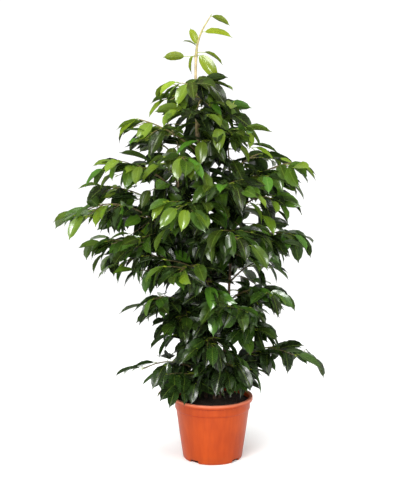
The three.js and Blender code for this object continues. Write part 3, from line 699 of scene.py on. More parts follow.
def grow_branch(name, stem, start, tip, full, settings, seed, upright=False):
    """The shoots and leaves of one branch: its limb first, then its side twigs."""
    draw = Draws(seed)
    run = math.hypot(tip[0] - start[0], tip[1] - start[1])
    length = float(np.linalg.norm(tip - start))
    heading = math.atan2(tip[1] - start[1], tip[0] - start[0])
    arch = 0 if upright else (BRANCH_ARCH + draw.around(ARCH_SWAY)) * run
    steps, ease = (3, LEADER_EASE) if upright else (4, 1)
    joints = shoot_joints(start, tip, arch, steps, ease)
    limb = {"joints": joints, "heading": heading, "length": length, "upright": upright}
    make_line(limb, 0)
    shoots = [limb] if upright else [limb, *grow_twigs(limb, full, draw)]
    if name == TOP_SHOOT:
        leaves = grow_top_leaves(limb, settings)
    else:
        leaves = grow_leaves(shoots, full, draw, Draws(LOOSE_DRAWS + seed), settings)
    return {"name": name, "seed": seed, "stem": stem, "start": start, "shoots": shoots, "leaves": leaves}


def grow_plant(settings):
    """Every branch of the plant. Each rises from whichever stem it can leave at its own slope."""
    branches = []
    for face, tips in TIPS.items():
        for i, (x, y, z, full, seed) in enumerate(tips):
            slope = mix(SLOPE_LOW, SLOPE_HIGH, crown_height(z))
            ways = []
            for stem in STEMS:
                there = stem_at(stem, stem_share(stem, z - slope * FIRST_RUN))
                run = math.hypot(x - there[0], y - there[1])
                start = stem_at(stem, stem_share(stem, z - slope * run))
                ways.append((run + abs(start[2] + slope * run - z), stem, start))
            _, stem, start = min(ways, key=lambda way: way[0])
            name = f"branch_{face}_{i + 1:02d}"
            tip = np.array([x, y, z], float)
            branches.append(grow_branch(name, stem, start, tip, full, settings, seed))
    for leader in LEADERS:
        stem = STEMS[leader["stem"]]
        start = stem_at(stem, 1)
        tip = start + np.array([*leader["lean"], leader["rise"]])
        branches.append(grow_branch(leader["name"], stem, start, tip, 1, settings, leader["seed"], True))
    return branches


def add_inner_leaves(branch, settings):
    """Fills the shaded heart of the bush: more leaves on the inner part of each limb. Twice as many are
    tried as are wanted, because some of them stand in a gap."""
    limb = branch["shoots"][0]
    if limb["upright"]:
        return
    draw = Draws(INNER_DRAWS + branch["seed"])
    spacing = mix(INNER_LOW, INNER_HIGH, crown_height(limb["joints"][-1][2]))
    count = int(limb["length"] / spacing)
    inner = []
    for _ in range(2 * count):
        share = mix(INNER_FIRST, INNER_LAST, draw() ** 1.2)
        turn, droop, roll = (draw.around(stray) for stray in INNER_STRAY)
        way = limb["heading"] + math.radians(turn), math.radians(INNER_FALL + droop), math.radians(roll)
        size = mix(INNER_SMALL, INNER_LARGE, draw())
        stalk = mix(INNER_STALK, INNER_LONG, draw())
        leaf = leaf_at(limb, share, *way, size, stalk, False, settings)
        leaf["inner"] = True
        if is_clear_of_gaps(leaf):
            inner.append(leaf)
    branch["leaves"] += inner[:count]


def leaf_lines(leaf):
    """Points along a leaf's axis and near its margins."""
    left = np.cross(leaf["upper"], leaf["along"]) * leaf["width"] * 0.4
    share = np.linspace(0, 1, 7)[:, None]
    sag = leaf["upper"] * leaf["length"] * 0.27 * share**2
    axis = leaf["base"] + leaf["along"] * leaf["length"] * share - sag
    return np.vstack([axis, axis + left, axis - left])


def as_seen(points):
    """Where the eye sees points on the upright plane through the pot's axis."""
    sight = EYE - points
    return EYE - sight * (EYE[1] / sight[:, 1])[:, None]


def is_clear_of_gaps(leaf):
    """True if a leaf stays out of every gap that the eye sees through."""
    seen = as_seen(leaf_lines(leaf))
    off = np.hypot(seen[:, :1] - GAPS[:, 0], seen[:, 2:] - GAPS[:, 1])
    return (off > GAPS[:, 2]).all()


def is_clear_of_pot(leaf):
    """True if a leaf's axis and margins stay out of the pot's wall and lip and out of the soil."""
    points = leaf_lines(leaf)
    radius = np.hypot(points[:, 0], points[:, 1])
    within = lambda low, high, top: (radius > low) & (radius < high) & (points[:, 2] < top)
    return not any(within(*zone).any() for zone in KEPT_CLEAR)


def quads_of_rings(rings, sides):
    """Four-sided faces of a tube, from each ring's corners to the next ring's, wound outwards."""
    i, j = np.meshgrid(np.arange(rings - 1), np.arange(sides), indexing="ij")
    a = i * sides + j
    b = i * sides + (j + 1) % sides
    return np.stack([a, b, b + sides, a + sides], -1).reshape(-1, 4)


def quads_of_columns(columns, rows):
    """Four-sided faces of a closed turn of columns of points, from each column to the next one."""
    i, j = np.meshgrid(np.arange(columns), np.arange(rows - 1), indexing="ij")
    a = i * rows + j
    b = (i + 1) % columns * rows + j
    return np.stack([a, b, b + 1, a + 1], -1).reshape(-1, 4)


def repeated(faces, count, step):
    """The same faces for each of many like parts, whose points follow one another by step."""
    return (faces[None] + (np.arange(count) * step)[:, None, None]).reshape(-1, faces.shape[1])


def smooth_line(joints, fine):
    """A Catmull-Rom curve through the joints, with a number of steps between each two."""
    ends = np.vstack([2 * joints[0] - joints[1], joints, 2 * joints[-1] - joints[-2]])
    share = (np.arange(fine) / fine)[:, None]
    spans = [
        0.5
        * (
            2 * b
            + (c - a) * share
            + (2 * a - 5 * b + 4 * c - d) * share**2
            + (3 * b - a - 3 * c + d) * share**3
        )
        for a, b, c, d in zip(ends[:-3], ends[1:-2], ends[2:-1], ends[3:])
    ]
    return np.vstack([*spans, joints[-1:]])


def tubes(lines, radii, sides):
    """Rings round many lines at once, each ring square to its line and turned from one fixed direction.

    lines holds the centres as (tube, ring, 3), and radii one radius for each ring.
    """
    ahead = np.gradient(lines, axis=1)
    ahead /= np.linalg.norm(ahead, axis=2, keepdims=True)
    whole = lines[:, -1] - lines[:, 0]
    whole /= np.linalg.norm(whole, axis=1, keepdims=True)
    steep = np.abs(whole[:, 2:]) > 0.8
    reference = np.where(steep, [[1.0, 0, 0]], [[0, 0, 1.0]])[:, None]
    across = np.cross(reference, ahead)
    across /= np.linalg.norm(across, axis=2, keepdims=True)
    over = np.cross(ahead, across)
    turn = (np.arange(sides) * 2 * np.pi / sides)[:, None]
    spoke = across[:, :, None] * np.cos(turn) + over[:, :, None] * np.sin(turn)
    return lines[:, :, None] + np.asarray(radii)[..., None, None] * spoke


def tube_caps(sides, rings):
    """The two faces that close a tube's ends."""
    start = np.arange(sides)[::-1]
    end = (rings - 1) * sides + np.arange(sides)
    return np.stack([start, end])


class Shell:
    """Points and faces gathered part by part, then made into one mesh object."""

    def __init__(self):
        self.points, self.uvs, self.faces, self.count = [], [], {}, 0

    def take(self, points, faces, slot=0, uv=0.0, **values):
        """Adds points, and faces of one size with their material slot and face values."""
        self.points.append(points)
        self.uvs.append(np.broadcast_to(uv, (len(points), 2)))
        first = self.count
        self.count += len(points)
        self.more(first, faces, slot, **values)
        return first

    def more(self, first, faces, slot=0, **values):
        """Adds faces over points that were already taken, the first of which has number first."""
        rows = self.faces.setdefault(faces.shape[1], [])
        filled = {key: np.broadcast_to(value, len(faces)) for key, value in values.items()}
        rows.append((faces + first, np.full(len(faces), slot), filled))

    def take_tubes(self, points, slot=0, uv=0.0, **values):
        """Adds closed tubes from their rings of points, with face values given tube by tube."""
        count, rings, sides, _ = points.shape
        step = rings * sides
        values = {key: np.broadcast_to(value, count) for key, value in values.items()}
        spread = lambda each: {key: np.repeat(value, each) for key, value in values.items()}
        quads = repeated(quads_of_rings(rings, sides), count, step)
        first = self.take(points.reshape(-1, 3), quads, slot, uv, **spread(step - sides))
        self.more(first, repeated(tube_caps(sides, rings), count, step), slot, **spread(2))

    def build(self, name, materials, keys=()):
        """A mesh object in metres, with a UV map named leaf and one face attribute for each key."""
        rows = [row for size in sorted(self.faces) for row in self.faces[size]]
        sizes = np.concatenate([np.full(len(faces), faces.shape[1]) for faces, _, _ in rows])
        corners = np.concatenate([faces.reshape(-1) for faces, _, _ in rows]).astype(np.int32)
        points = np.vstack(self.points) * MM
        mesh = bpy.data.meshes.new(name)
        mesh.vertices.add(len(points))
        mesh.vertices.foreach_set("co", points.astype(np.float32).reshape(-1))
        mesh.loops.add(len(corners))
        mesh.loops.foreach_set("vertex_index", corners)
        mesh.polygons.add(len(sizes))
        mesh.polygons.foreach_set("loop_start", (np.cumsum(sizes) - sizes).astype(np.int32))
        mesh.polygons.foreach_set("use_smooth", np.ones(len(sizes), bool))
        slots = np.concatenate([slot for _, slot, _ in rows]).astype(np.int32)
        mesh.polygons.foreach_set("material_index", slots)
        mesh.update(calc_edges=True)
        if keys:
            layer = mesh.uv_layers.new(name="leaf")
            layer.data.foreach_set("uv", np.vstack(self.uvs)[corners].astype(np.float32).reshape(-1))
        for key in keys:
            values = np.concatenate([np.broadcast_to(extra.get(key, 0.0), len(f)) for f, _, extra in rows])
            mesh.attributes.new(key, "FLOAT", "FACE").data.foreach_set("value", values.astype(np.float32))
        if mesh.validate():
            raise RuntimeError(f"{name} had faces that don't hold together")
        for material in materials:
            mesh.materials.append(material)
        made = bpy.data.objects.new(name, mesh)
        bpy.context.scene.collection.objects.link(made)
        return made


def along_path(corners, count):
    """Points spread evenly along a line of corners."""
    corners = np.array(corners, float)
    far = np.concatenate([[0], np.cumsum(np.linalg.norm(np.diff(corners, axis=0), axis=1))])
    at = np.linspace(0, far[-1], count)
    return np.stack([np.interp(at, far, corners[:, axis]) for axis in (0, 1)], -1)


def arc(centre, radius, start, end, count=7):
    """Points of a circle's arc, by its angles in degrees."""
    angle = np.radians(np.linspace(start, end, count))
    return np.stack([centre[0] + radius * np.cos(angle), centre[1] + radius * np.sin(angle)], -1)


def pot_profiles(settings):
    """Radius and height round the pot's section, from the middle of its underside to that of its floor.

    The first is the plain section. The second goes through a drain recess: its foot corner is folded
    in by the recess's depth and up by its height, and the inside follows at the wall's thickness.
    """
    base = settings.base_radius / MM
    lip = settings.lip_radius / MM
    top = settings.height / MM
    inset = base - DRAIN_DEPTH
    slope = (WALL_TOP_RADIUS - base) / (BAND_FOOT - 4)
    wall = lambda z: base + slope * (z - 4)
    underside = [[0, 1.2], [20, 1.2], [44, 1.2], [56, 1.1], [58.5, 0.2], [60, 0], [inset - 1, 0]]
    corner = [[inset, 0], *arc((base - 4.8, 4.8), 4.8, -90, -8), [wall(9.5), 9.5]]
    folded = [
        [inset, 0], [inset, DRAIN_HEIGHT - 0.6], [inset + 0.6, DRAIN_HEIGHT],
        [wall(8.5) - 0.4, 8.6], [wall(9.5), 9.5],
    ]
    outside = [[wall(z), z] for z in np.linspace(12, BAND_FOOT - 1.2, 16)]
    step = [[WALL_TOP_RADIUS + out, BAND_FOOT + up] for out, up in ((0, -0.4), (0.1, 0.3), (0.9, 0.9))]
    band = [
        [BAND_RADIUS - 0.5, BAND_FOOT + 1.3], [BAND_RADIUS, BAND_FOOT + 2.2], [BAND_RADIUS, BAND_FOOT + 10],
        [BAND_RADIUS, LIP_FOOT - 2], [BAND_RADIUS + 0.1, LIP_FOOT - 0.5], [BAND_RADIUS + 0.6, LIP_FOOT],
    ]
    under_lip = [[lip - 1.6, LIP_FOOT + 0.1], [lip - 0.5, LIP_FOOT + 0.6], [lip, LIP_FOOT + 1.6]]
    over_lip = [*arc((lip - 2.6, top - 2.6), 2.6, 0, 90), *arc((BAND_RADIUS + 0.9, top - 2.3), 2.3, 90, 180)]
    within = [
        [BAND_RADIUS - WALL, top - 6], [BAND_RADIUS - WALL, BAND_FOOT + 2],
        [WALL_TOP_RADIUS - WALL, BAND_FOOT - 1],
    ]
    inside = [[wall(z) - WALL, z] for z in (110, 80, 50, 25, 12)]
    hidden = [[wall(11) - WALL, 11], [base - WALL, 5.6], [base - 4.2, FLOOR + 0.2], [inset - 4, FLOOR]]
    hidden_fold = [
        [wall(11) - WALL, 11], [inset, 10.1], [inset - WALL, 9.5], [inset - WALL, FLOOR], [inset - 4, FLOOR],
    ]
    floor = [[40, FLOOR], [0, FLOOR]]
    above = [*outside, *step, *band, *under_lip, *over_lip, *within, *inside]
    plain = np.vstack([underside, along_path(corner, 18), above, along_path(hidden, 10), floor])
    recess = np.vstack([underside, along_path(folded, 18), above, along_path(hidden_fold, 10), floor])
    return plain, recess


def make_pot(settings):
    """The pot: its section carried round the axis, between the plain section and the recess's.

    A column's share of the recess is a smooth step of its distance from the recess's sides. The back
    of each recess is pushed in again where its slot is. The lip and wall waver by a third of a
    millimetre, as thin plastic does.
    """
    plain, recess = pot_profiles(settings)
    half = DRAIN_WIDTH / 2
    foot = settings.base_radius / MM
    edges = np.degrees((half + SIDE_COLUMNS) / foot)
    centres = DRAIN_TURN + 90 * np.arange(4)
    sides = (centres[:, None] + np.concatenate([edges, -edges])[None]).reshape(-1)
    degrees = np.unique(np.round(np.concatenate([np.arange(0, 360, COLUMN_STEP), sides % 360]), 3))
    off = np.abs((degrees[:, None] - centres[None] + 180) % 360 - 180).min(1)
    distance = np.radians(off) * foot
    share = smooth_step((half + 0.4 - distance) / 0.9)[:, None]
    radius = mix(plain[None, :, 0], recess[None, :, 0], share)
    height = mix(plain[None, :, 1], recess[None, :, 1], share)
    slot = smooth_step((half - SLOT_MARGIN - distance) / 0.8)[:, None]
    at_back = (np.abs(radius - (foot - DRAIN_DEPTH)) < 0.7) & (height > 1.2) & (height < FLOOR + DRAIN_SLOT)
    radius = radius - np.where(at_back, SLOT_DEPTH * slot, 0)
    turn = np.radians(degrees)[:, None]
    points = np.stack([radius * np.cos(turn), radius * np.sin(turn), height], -1)
    waver = POT_WAVER * ripple(points, 90, 3) * smooth_step((height - 20) / 60)
    points[..., :2] *= (1 - (POT_WAVER - waver) / np.maximum(radius, 1) * (radius > 50))[..., None]
    shell = Shell()
    columns, rows, _ = points[:, 1:-1].shape
    shell.take(points[:, 1:-1].reshape(-1, 3), quads_of_columns(columns, rows))
    pole = np.full(columns, shell.take(points[0, [0, -1]], np.zeros((0, 3), int)))
    ring = np.arange(columns) * rows
    following = np.roll(ring, -1)
    last = rows - 1
    shell.more(0, np.stack([pole, following, ring], -1))
    shell.more(0, np.stack([ring + last, following + last, pole + 1], -1))
    return shell.build("nursery_pot", [pot_material(settings)])


def soil_height(settings, x, y):
    """Height of the soil: a low mound, with clods of 30 mm, lumps of 11 mm and grains of 5 mm on it."""
    radius = np.hypot(x, y)
    flat = np.stack([x, y, np.zeros_like(x)], -1)
    mound = settings.mound / MM * (0.5 + 0.5 * np.cos(np.pi * np.clip(radius / 90, 0, 1)))
    lumps = 1.5 * ripple(flat, 30, 11) + 0.9 * np.abs(ripple(flat, 11, 12)) + 0.5 * ripple(flat, 5, 13)
    return settings.top / MM + mound + lumps * smooth_step((97 - radius) / 6) + 0.6


def make_soil(settings):
    """The soil: a disc of rings and spokes raised by its height, closed by a side and a floor."""
    turn = (np.arange(SOIL_SPOKES) * 2 * np.pi / SOIL_SPOKES)[:, None]
    reach = SOIL_RADIUS * np.linspace(0.02, 1, SOIL_RINGS)[None] ** 0.8
    x, y = reach * np.cos(turn), reach * np.sin(turn)
    top = np.stack([x, y, soil_height(settings, x, y)], -1)
    rim, height = SOIL_SIDE.T
    x, y = rim * np.cos(turn), rim * np.sin(turn)
    side = np.stack([x, y, np.broadcast_to(height, x.shape)], -1)
    points = np.concatenate([top, side], 1)[:, ::-1]
    rows = points.shape[1]
    shell = Shell()
    shell.take(points.reshape(-1, 3), quads_of_columns(SOIL_SPOKES, rows))
    ring = np.arange(SOIL_SPOKES) * rows
    shell.more(0, ring[::-1][None])
    shell.more(0, (ring + rows - 1)[None])
    return shell.build("potting_soil", [soil_material(settings)])


def make_crumbs(settings):
    """Loose crumbs and bark chips on the soil: lumps of 24 faces, each stretched, turned and half sunk."""
    rng = np.random.default_rng(5)
    radius = CRUMB_REACH * np.sqrt(rng.random(CRUMBS))
    turn = 2 * np.pi * rng.random(CRUMBS)
    x, y = radius * np.cos(turn), radius * np.sin(turn)
    keep = np.ones(CRUMBS, bool)
    for stem in STEMS:
        at = stem_at(stem, (settings.top / MM - STEM_FOOT) / (stem["top"] - STEM_FOOT))
        keep &= np.hypot(x - at[0], y - at[1]) > stem["thick"] + CRUMB_ROOM
    x, y = x[keep], y[keep]
    count = len(x)
    size = settings.crumb / MM * mix(0.3, 1, rng.random(count) ** 2)
    belt = [[math.cos(t), math.sin(t), -0.25] for t in np.arange(6) * math.pi / 3]
    crown = [[0.7 * math.cos(t), 0.7 * math.sin(t), 0.6] for t in (np.arange(6) + 0.5) * math.pi / 3]
    ball = np.array([[0, 0, -1], *belt, *crown, [0, 0, 1]])
    ball = ball[None] * mix(0.7, 1.3, rng.random((count, len(ball), 1)))
    wide = mix(0.8, 1.9, rng.random(count))
    flat = mix(0.45, 0.8, rng.random(count))
    stretch = np.stack([wide, np.ones(count), flat], -1)
    ball = ball * stretch[:, None] * size[:, None, None]
    angle = 2 * np.pi * rng.random(count)
    c, s = np.cos(angle)[:, None], np.sin(angle)[:, None]
    x_axis, y_axis, z_axis = np.moveaxis(ball, -1, 0)
    turned = np.stack([x_axis * c - y_axis * s, x_axis * s + y_axis * c, z_axis], -1)
    centre = np.stack([x, y, soil_height(settings, x, y) + 0.1 * size], -1)
    k = np.arange(6)
    n = (k + 1) % 6
    foot, top = np.zeros(6, int), np.full(6, 13)
    rows = [[foot, 1 + n, 1 + k], [1 + k, 1 + n, 7 + k], [1 + n, 7 + n, 7 + k], [top, 7 + k, 7 + n]]
    faces = np.vstack([np.stack(row, -1) for row in rows])
    shell = Shell()
    shell.take((centre[:, None] + turned).reshape(-1, 3), repeated(faces, count, ball.shape[1]))
    return shell.build("soil_crumbs", [soil_material(settings)])


def make_stem(stem, branches, settings):
    """A stem: a tube round its curve that tapers, swells by a bell where each branch leaves it, and
    wavers by a share of its radius."""
    share = np.linspace(0, 1, STEM_RINGS)
    line = stem_at(stem, share)[None]
    radii = mix(stem["thick"], stem["thin"], share)
    for branch in branches:
        if branch["stem"] is stem:
            above = (line[0, :, 2] - branch["start"][2] - BELL_RISE) / BELL_REACH
            radii = radii + settings.swelling / MM * np.exp(-(above**2))
    rings = tubes(line, radii[None], STEM_SIDES)
    waver = 1 + STEM_WAVER * ripple(rings.reshape(-1, 3), 26, 7).reshape(rings.shape[:3])
    rings = line[:, :, None] + (rings - line[:, :, None]) * waver[..., None]
    shell = Shell()
    shell.take_tubes(rings)
    return shell.build("bark_" + stem["name"], [bark_material(settings)])


def gathered(leaves, *keys):
    """The leaves' values of each key, as one array for each."""
    return [np.array([leaf[key] for leaf in leaves]) for key in keys]


def blade_points(leaves, settings):
    """Blades of many leaves at once, as closed rings of eight points at eight shares of the length.

    The midrib is an arc that bends down from the leaf's own direction. The blade twists round it evenly,
    and lies level at 0.15 of its length. The half width is the sine of pi times the share to the power 0.8,
    all to the power 0.7, and it narrows again to the drip tip. Each half rises from the midrib by the
    fold's sine times the distance across to the power 1.3, and the margin waves. The two faces part by
    the blade's thickness times one less the square across.
    """
    base, along, upper, length, width = gathered(leaves, "base", "along", "upper", "length", "width")
    curl, phase, twist = gathered(leaves, "curl", "phase", "twist")
    bend = settings.bend * curl
    left = np.cross(upper, along)
    left /= np.linalg.norm(left, axis=1, keepdims=True)
    t = LEAF_ROWS[None, :]
    angle = bend[:, None] * t
    sine, cosine = np.sin(angle)[..., None], np.cos(angle)[..., None]
    scale = (length / bend)[:, None, None]
    middle = base[:, None] + scale * sine * along[:, None] - scale * (1 - cosine) * upper[:, None]
    normal = sine * along[:, None] + cosine * upper[:, None]
    turn = (twist[:, None] * (t - 0.15))[..., None]
    level = left[:, None]
    left = level * np.cos(turn) + normal * np.sin(turn)
    normal = normal * np.cos(turn) - level * np.sin(turn)
    tail = smooth_step((t - 0.78) / 0.12)
    outline = np.sin(np.pi * t**0.8).clip(0, 1) ** 0.7 * (1 - 0.6 * tail)
    half = np.maximum(outline * width[:, None] / 2, np.where(t < 0.5, 0.7, 0.25))[..., None, None]
    s = LEAF_RING[None, None, :, None]
    side = LEAF_FACE[None, None, :, None]
    wave = np.sin(2 * np.pi * 1.7 * t[..., None, None] + phase[:, None, None, None] + 2 * s) * np.abs(s)
    wave = 0.9 * wave * outline[..., None, None]
    rise = half * np.abs(s) ** 1.3 * np.sin(settings.fold) + wave + side * 0.22 * (1 - s * s)
    across = half * s * np.cos(settings.fold) * left[:, :, None]
    return middle[:, :, None] + across + rise * normal[:, :, None]


def add_shoots(shell, shoots, thick, thin, sides):
    """Tapered tubes. Each has a collar at its root, which adds a third to the radius and is gone after a
    quarter of the length, and is rounded off at its end."""
    lines = np.stack([shoot["line"] for shoot in shoots])
    share = np.linspace(0, 1, lines.shape[1])
    collar = 1 + 0.35 * np.exp(-share * 14)
    rounding = np.minimum(1, (1.02 - share) * 8 + 0.55)
    radii = mix(thick, thin, share) * collar * rounding
    shell.take_tubes(tubes(lines, radii[None], sides), 1)


def add_blades(shell, leaves, settings):
    """Leaf blades, closed at foot and tip, with each leaf's tone and age on its faces."""
    rows, ring, count = len(LEAF_ROWS), len(LEAF_RING), len(leaves)
    step, last = rows * ring, (rows - 1) * ring
    tone, age = gathered(leaves, "tone", "age")
    spread = lambda each: {"tone": np.repeat(tone, each), "age": np.repeat(age, each)}
    under = np.tile(np.arange(ring) >= 4, rows - 1).astype(float)
    uv = np.stack(np.broadcast_arrays(((LEAF_RING + 1) / 2)[None], LEAF_ROWS[:, None]), -1).reshape(-1, 2)
    points = blade_points(leaves, settings).reshape(-1, 3)
    quads = repeated(quads_of_rings(rows, ring), count, step)
    values = {"under": np.tile(under, count), **spread(last)}
    first = shell.take(points, quads, 0, np.tile(uv, (count, 1)), **values)
    corners = np.vstack([[[1, 0, 7], [5, 4, 3]], np.array([[0, 1, 7], [3, 4, 5]]) + last])
    middles = np.vstack([[[2, 1, 7, 6], [3, 2, 6, 5]], np.array([[1, 2, 6, 7], [2, 3, 5, 6]]) + last])
    for faces in (corners, middles):
        shell.more(first, repeated(faces, count, step), 0, **spread(4))


def add_stalks(shell, leaves):
    """Curved stalks, each from its leaf's root on the shoot to a millimetre inside the blade."""
    root, base, along, tone, age = gathered(leaves, "root", "base", "along", "tone", "age")
    bow = (root + base) / 2 + np.array([0, 0, 1.5])
    lines = np.stack([root, bow, base + along], 1)
    pale = np.clip(age + 0.45, 0, 1)
    shell.take_tubes(tubes(lines, STALK_RADII[None], STALK_SIDES), 0, 0.5, tone=tone, age=pale)


def add_buds(shell, shoots):
    """A pointed bud at the end of each shoot."""
    ends = np.stack([shoot["line"][-1] for shoot in shoots])
    ahead = ends - np.stack([shoot["line"][-2] for shoot in shoots])
    ahead /= np.linalg.norm(ahead, axis=1, keepdims=True)
    lines = ends[:, None] + ahead[:, None] * BUD_PLACES[:, None]
    shell.take_tubes(tubes(lines, BUD_RADII[None], BUD_SIDES), 0, 0.5, tone=0.5, age=0.8)


def make_foliage(branch, settings, materials):
    """One leafy branch: its limb and twigs, its leaves on their stalks, and its buds."""
    shell = Shell()
    limb, *twigs = branch["shoots"]
    thick = branch["stem"]["thin"] + 0.05 if limb["upright"] else BRANCH_THICK
    add_shoots(shell, [limb], thick, BRANCH_THIN, LIMB_SIDES)
    if twigs:
        add_shoots(shell, twigs, TWIG_THICK, TWIG_THIN, TWIG_SIDES)
    add_blades(shell, branch["leaves"], settings)
    add_stalks(shell, branch["leaves"])
    add_buds(shell, branch["shoots"])
    name = branch["name"].replace("branch", "foliage").replace("leader", "foliage_leader")
    made = shell.build(name, materials, LEAF_VALUES)
    made.data.set_sharp_from_angle(angle=math.radians(70))
    return made


def finish_leaves(branch):
    """Gives each leaf its own curl, wave, lightness and age. Leaves high up and at the sides are painted
    brighter, as where light falls, leaves near the stems and inside the crown are painted darker, as in
    shade, and the youngest are at the top and at the tips."""
    draw = Draws(FINISH_DRAWS + branch["seed"])
    for leaf in branch["leaves"]:
        height = crown_height(leaf["root"][2])
        leaf["curl"] = mix(CURL_LOW, CURL_HIGH, draw())
        leaf["phase"] = 2 * math.pi * draw()
        leaf["twist"] = math.radians(draw.around(TWIST))
        shine = draw()
        # Inner leaves are painted dark, as in shade.
        if leaf.get("inner"):
            leaf["tone"], leaf["age"] = INNER_SHADE_TONE * shine, 0.0
            continue
        # Painted light and shade: leaves out at the sides and high up are lighter, as lit, and those in the
        # middle darker, as in shade.
        side = min(1, abs(leaf["root"][0] + 20) / (170 - 90 * height))
        leaf["tone"] = (MIDDLE_SHADE_TONE + (SIDE_LIGHT_TONE + HIGH_LIGHT_TONE * height) * side) * shine**1.5
        young = YOUNG_TOP * height**3 + (YOUNG_TIP * height if leaf["last"] else 0)
        leaf["age"] = YOUNG_SHOOT if branch["name"] == TOP_SHOOT else young * shine * mix(0.3, 1.2, side)


def paint_light_on_leaves(branches):
    """Paints light on single leaves, making them bright green, or yellow-green where they are young as well:
    at each place the one that shows best, by how near to the eye it is, how far off the place it is seen, and
    how far it is turned to the eye."""
    leaves = [leaf for branch in branches for leaf in branch["leaves"]]
    base, along, upper, length = gathered(leaves, "base", "along", "upper", "length")
    middle = base + along * length[:, None] / 2
    seen, sight = as_seen(middle), EYE - middle
    facing = np.abs((sight * upper).sum(1)) / np.linalg.norm(sight, axis=1)
    for places, look in ((LIT_LEAF_PLACES, LIT_LEAF_LOOK), (LIT_YOUNG_LEAF_PLACES, LIT_YOUNG_LEAF_LOOK)):
        for x, z in places:
            off = np.hypot(seen[:, 0] - x, seen[:, 2] - z)
            leaf = leaves[np.argmin(middle[:, 1] + PLACE_WORTH * off - FACING_WORTH * facing)]
            leaf["tone"], leaf["age"] = look


def settle(made, slot, *nodes):
    """Ties a finished piece to the body and hides the nodes that it stands for. The slot is not used."""
    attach(made, "root")
    if nodes:
        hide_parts(*nodes)


def lay_floor(settings):
    """A round sheet of white paper under the plant."""
    mesh = bpy.data.meshes.new("floor")
    turn = np.arange(FLOOR_SIDES) * 2 * np.pi / FLOOR_SIDES
    edge = np.stack([FLOOR_RADIUS * np.cos(turn), FLOOR_RADIUS * np.sin(turn), 0 * turn], -1)
    mesh.from_pydata(edge.tolist(), [], [list(range(FLOOR_SIDES))])
    mesh.materials.append(paper_material(settings))
    floor = bpy.data.objects.new("floor", mesh)
    bpy.context.scene.collection.objects.link(floor)


def light_room(settings):
    """The eye sees a white backdrop, and the plant is lit by the dimmer room in front of it."""
    world = bpy.data.worlds.new("studio")
    bpy.context.scene.world = world
    world.use_nodes = True
    seen = add(world, "LightPath", out="Is Camera Ray")
    strength = add(world, "MapRange", between(seen, 0, 1, settings.room, BACKDROP))
    surround = world.node_tree.nodes["Background"]
    surround.inputs["Color"].default_value = (1, 1, 1, 1)
    world.node_tree.links.new(strength, surround.inputs["Strength"])


def hang_lights(settings):
    """Square soft lights, all turned to the middle of the plant. No surface mirrors the one overhead."""
    for name, (place, size) in LIGHTS.items():
        light = bpy.data.objects.new(name, bpy.data.lights.new(name, "AREA"))
        light.data.size = size
        light.data.energy = getattr(settings, name)
        light.visible_glossy = name != "top"
        light.location = place
        ahead = mathutils.Vector(LIGHTS_AIM) - light.location
        light.rotation_euler = ahead.to_track_quat("-Z", "Y").to_euler()
        bpy.context.scene.collection.objects.link(light)


def place_camera():
    """The camera at the eye's place, looking level to the back and then down."""
    camera = bpy.data.objects.new("camera", bpy.data.cameras.new("camera"))
    camera.data.lens = LENS
    camera.data.sensor_width = FILM
    camera.location = EYE * MM
    camera.rotation_euler = (math.radians(90 - LOOK_DOWN), 0, 0)
    bpy.context.scene.collection.objects.link(camera)
    bpy.context.scene.camera = camera


class FIG_OT_pot(bpy.types.Operator):
    """Make the plastic nursery pot"""

    bl_idname = "fig.pot"
    bl_label = "Pot"

    def execute(self, context):
        settle(make_pot(context.scene.fig_pot), "pot", "pot")
        return {"FINISHED"}


class FIG_OT_soil(bpy.types.Operator):
    """Make the potting soil and the crumbs on it"""

    bl_idname = "fig.soil"
    bl_label = "Soil"

    def execute(self, context):
        settings = context.scene.fig_soil
        settle(make_soil(settings), "soil", "soil")
        settle(make_crumbs(settings), "soil")
        return {"FINISHED"}


class FIG_OT_stems(bpy.types.Operator):
    """Make the three woody stems"""

    bl_idname = "fig.stems"
    bl_label = "Stems"

    def execute(self, context):
        branches = grow_plant(context.scene.fig_foliage)
        for stem in STEMS:
            settle(make_stem(stem, branches, context.scene.fig_stem), "bark", stem["name"])
        return {"FINISHED"}


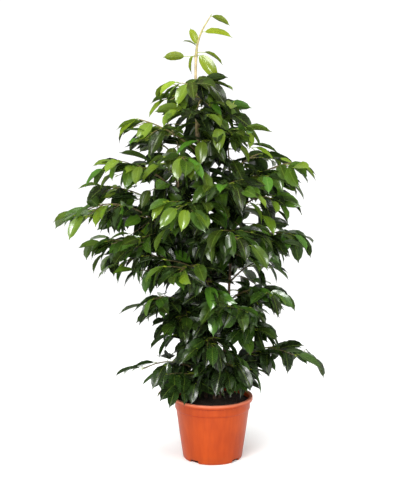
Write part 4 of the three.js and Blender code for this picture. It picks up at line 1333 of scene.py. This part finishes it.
class FIG_OT_foliage(bpy.types.Operator):
    """Make every leafy branch"""

    bl_idname = "fig.foliage"
    bl_label = "Foliage"

    def execute(self, context):
        settings = context.scene.fig_foliage
        materials = [leaf_material(settings), twig_material(settings)]
        branches = grow_plant(settings)
        for branch in branches:
            add_inner_leaves(branch, settings)
            branch["leaves"] = [leaf for leaf in branch["leaves"] if is_clear_of_pot(leaf)]
            finish_leaves(branch)
        paint_light_on_leaves(branches)
        for branch in branches:
            settle(make_foliage(branch, settings, materials), "leaf", branch["name"])
        return {"FINISHED"}


class FIG_OT_stage(bpy.types.Operator):
    """Lay the floor, and place the lights and the camera"""

    bl_idname = "fig.stage"
    bl_label = "Stage"

    def execute(self, context):
        scene = context.scene
        settings = scene.fig_stage
        scene.view_settings.view_transform = "Standard"
        lay_floor(settings)
        light_room(settings)
        hang_lights(settings)
        place_camera()
        return {"FINISHED"}


class FIG_PT_plant(bpy.types.Panel):
    """The plant's pieces and their settings"""

    bl_idname = "FIG_PT_plant"
    bl_label = "Weeping Fig"
    bl_space_type = "VIEW_3D"
    bl_region_type = "UI"
    bl_category = "Weeping Fig"

    def draw(self, context):
        for operator, group in PIECES:
            box = self.layout.box()
            box.operator(operator.bl_idname)
            settings = getattr(context.scene, group)
            for key in settings.bl_rna.properties.keys():
                if key not in ("rna_type", "name"):
                    box.prop(settings, key)


PIECES = (
    (FIG_OT_pot, "fig_pot"),
    (FIG_OT_soil, "fig_soil"),
    (FIG_OT_stems, "fig_stem"),
    (FIG_OT_foliage, "fig_foliage"),
    (FIG_OT_stage, "fig_stage"),
)
GROUPS = {
    "fig_pot": PotSettings,
    "fig_soil": SoilSettings,
    "fig_stem": StemSettings,
    "fig_foliage": FoliageSettings,
    "fig_stage": StageSettings,
}


def register():
    for name, group in GROUPS.items():
        bpy.utils.register_class(group)
        setattr(bpy.types.Scene, name, bpy.props.PointerProperty(type=group))
    for operator, _ in PIECES:
        bpy.utils.register_class(operator)
    bpy.utils.register_class(FIG_PT_plant)


def unregister():
    bpy.utils.unregister_class(FIG_PT_plant)
    for operator, _ in reversed(PIECES):
        bpy.utils.unregister_class(operator)
    for name, group in reversed(GROUPS.items()):
        delattr(bpy.types.Scene, name)
        bpy.utils.unregister_class(group)


def main():
    register()
    bpy.ops.fig.pot()
    bpy.ops.fig.soil()
    bpy.ops.fig.stems()
    bpy.ops.fig.foliage()
    bpy.ops.fig.stage()


if __name__ == "__main__":
    main()
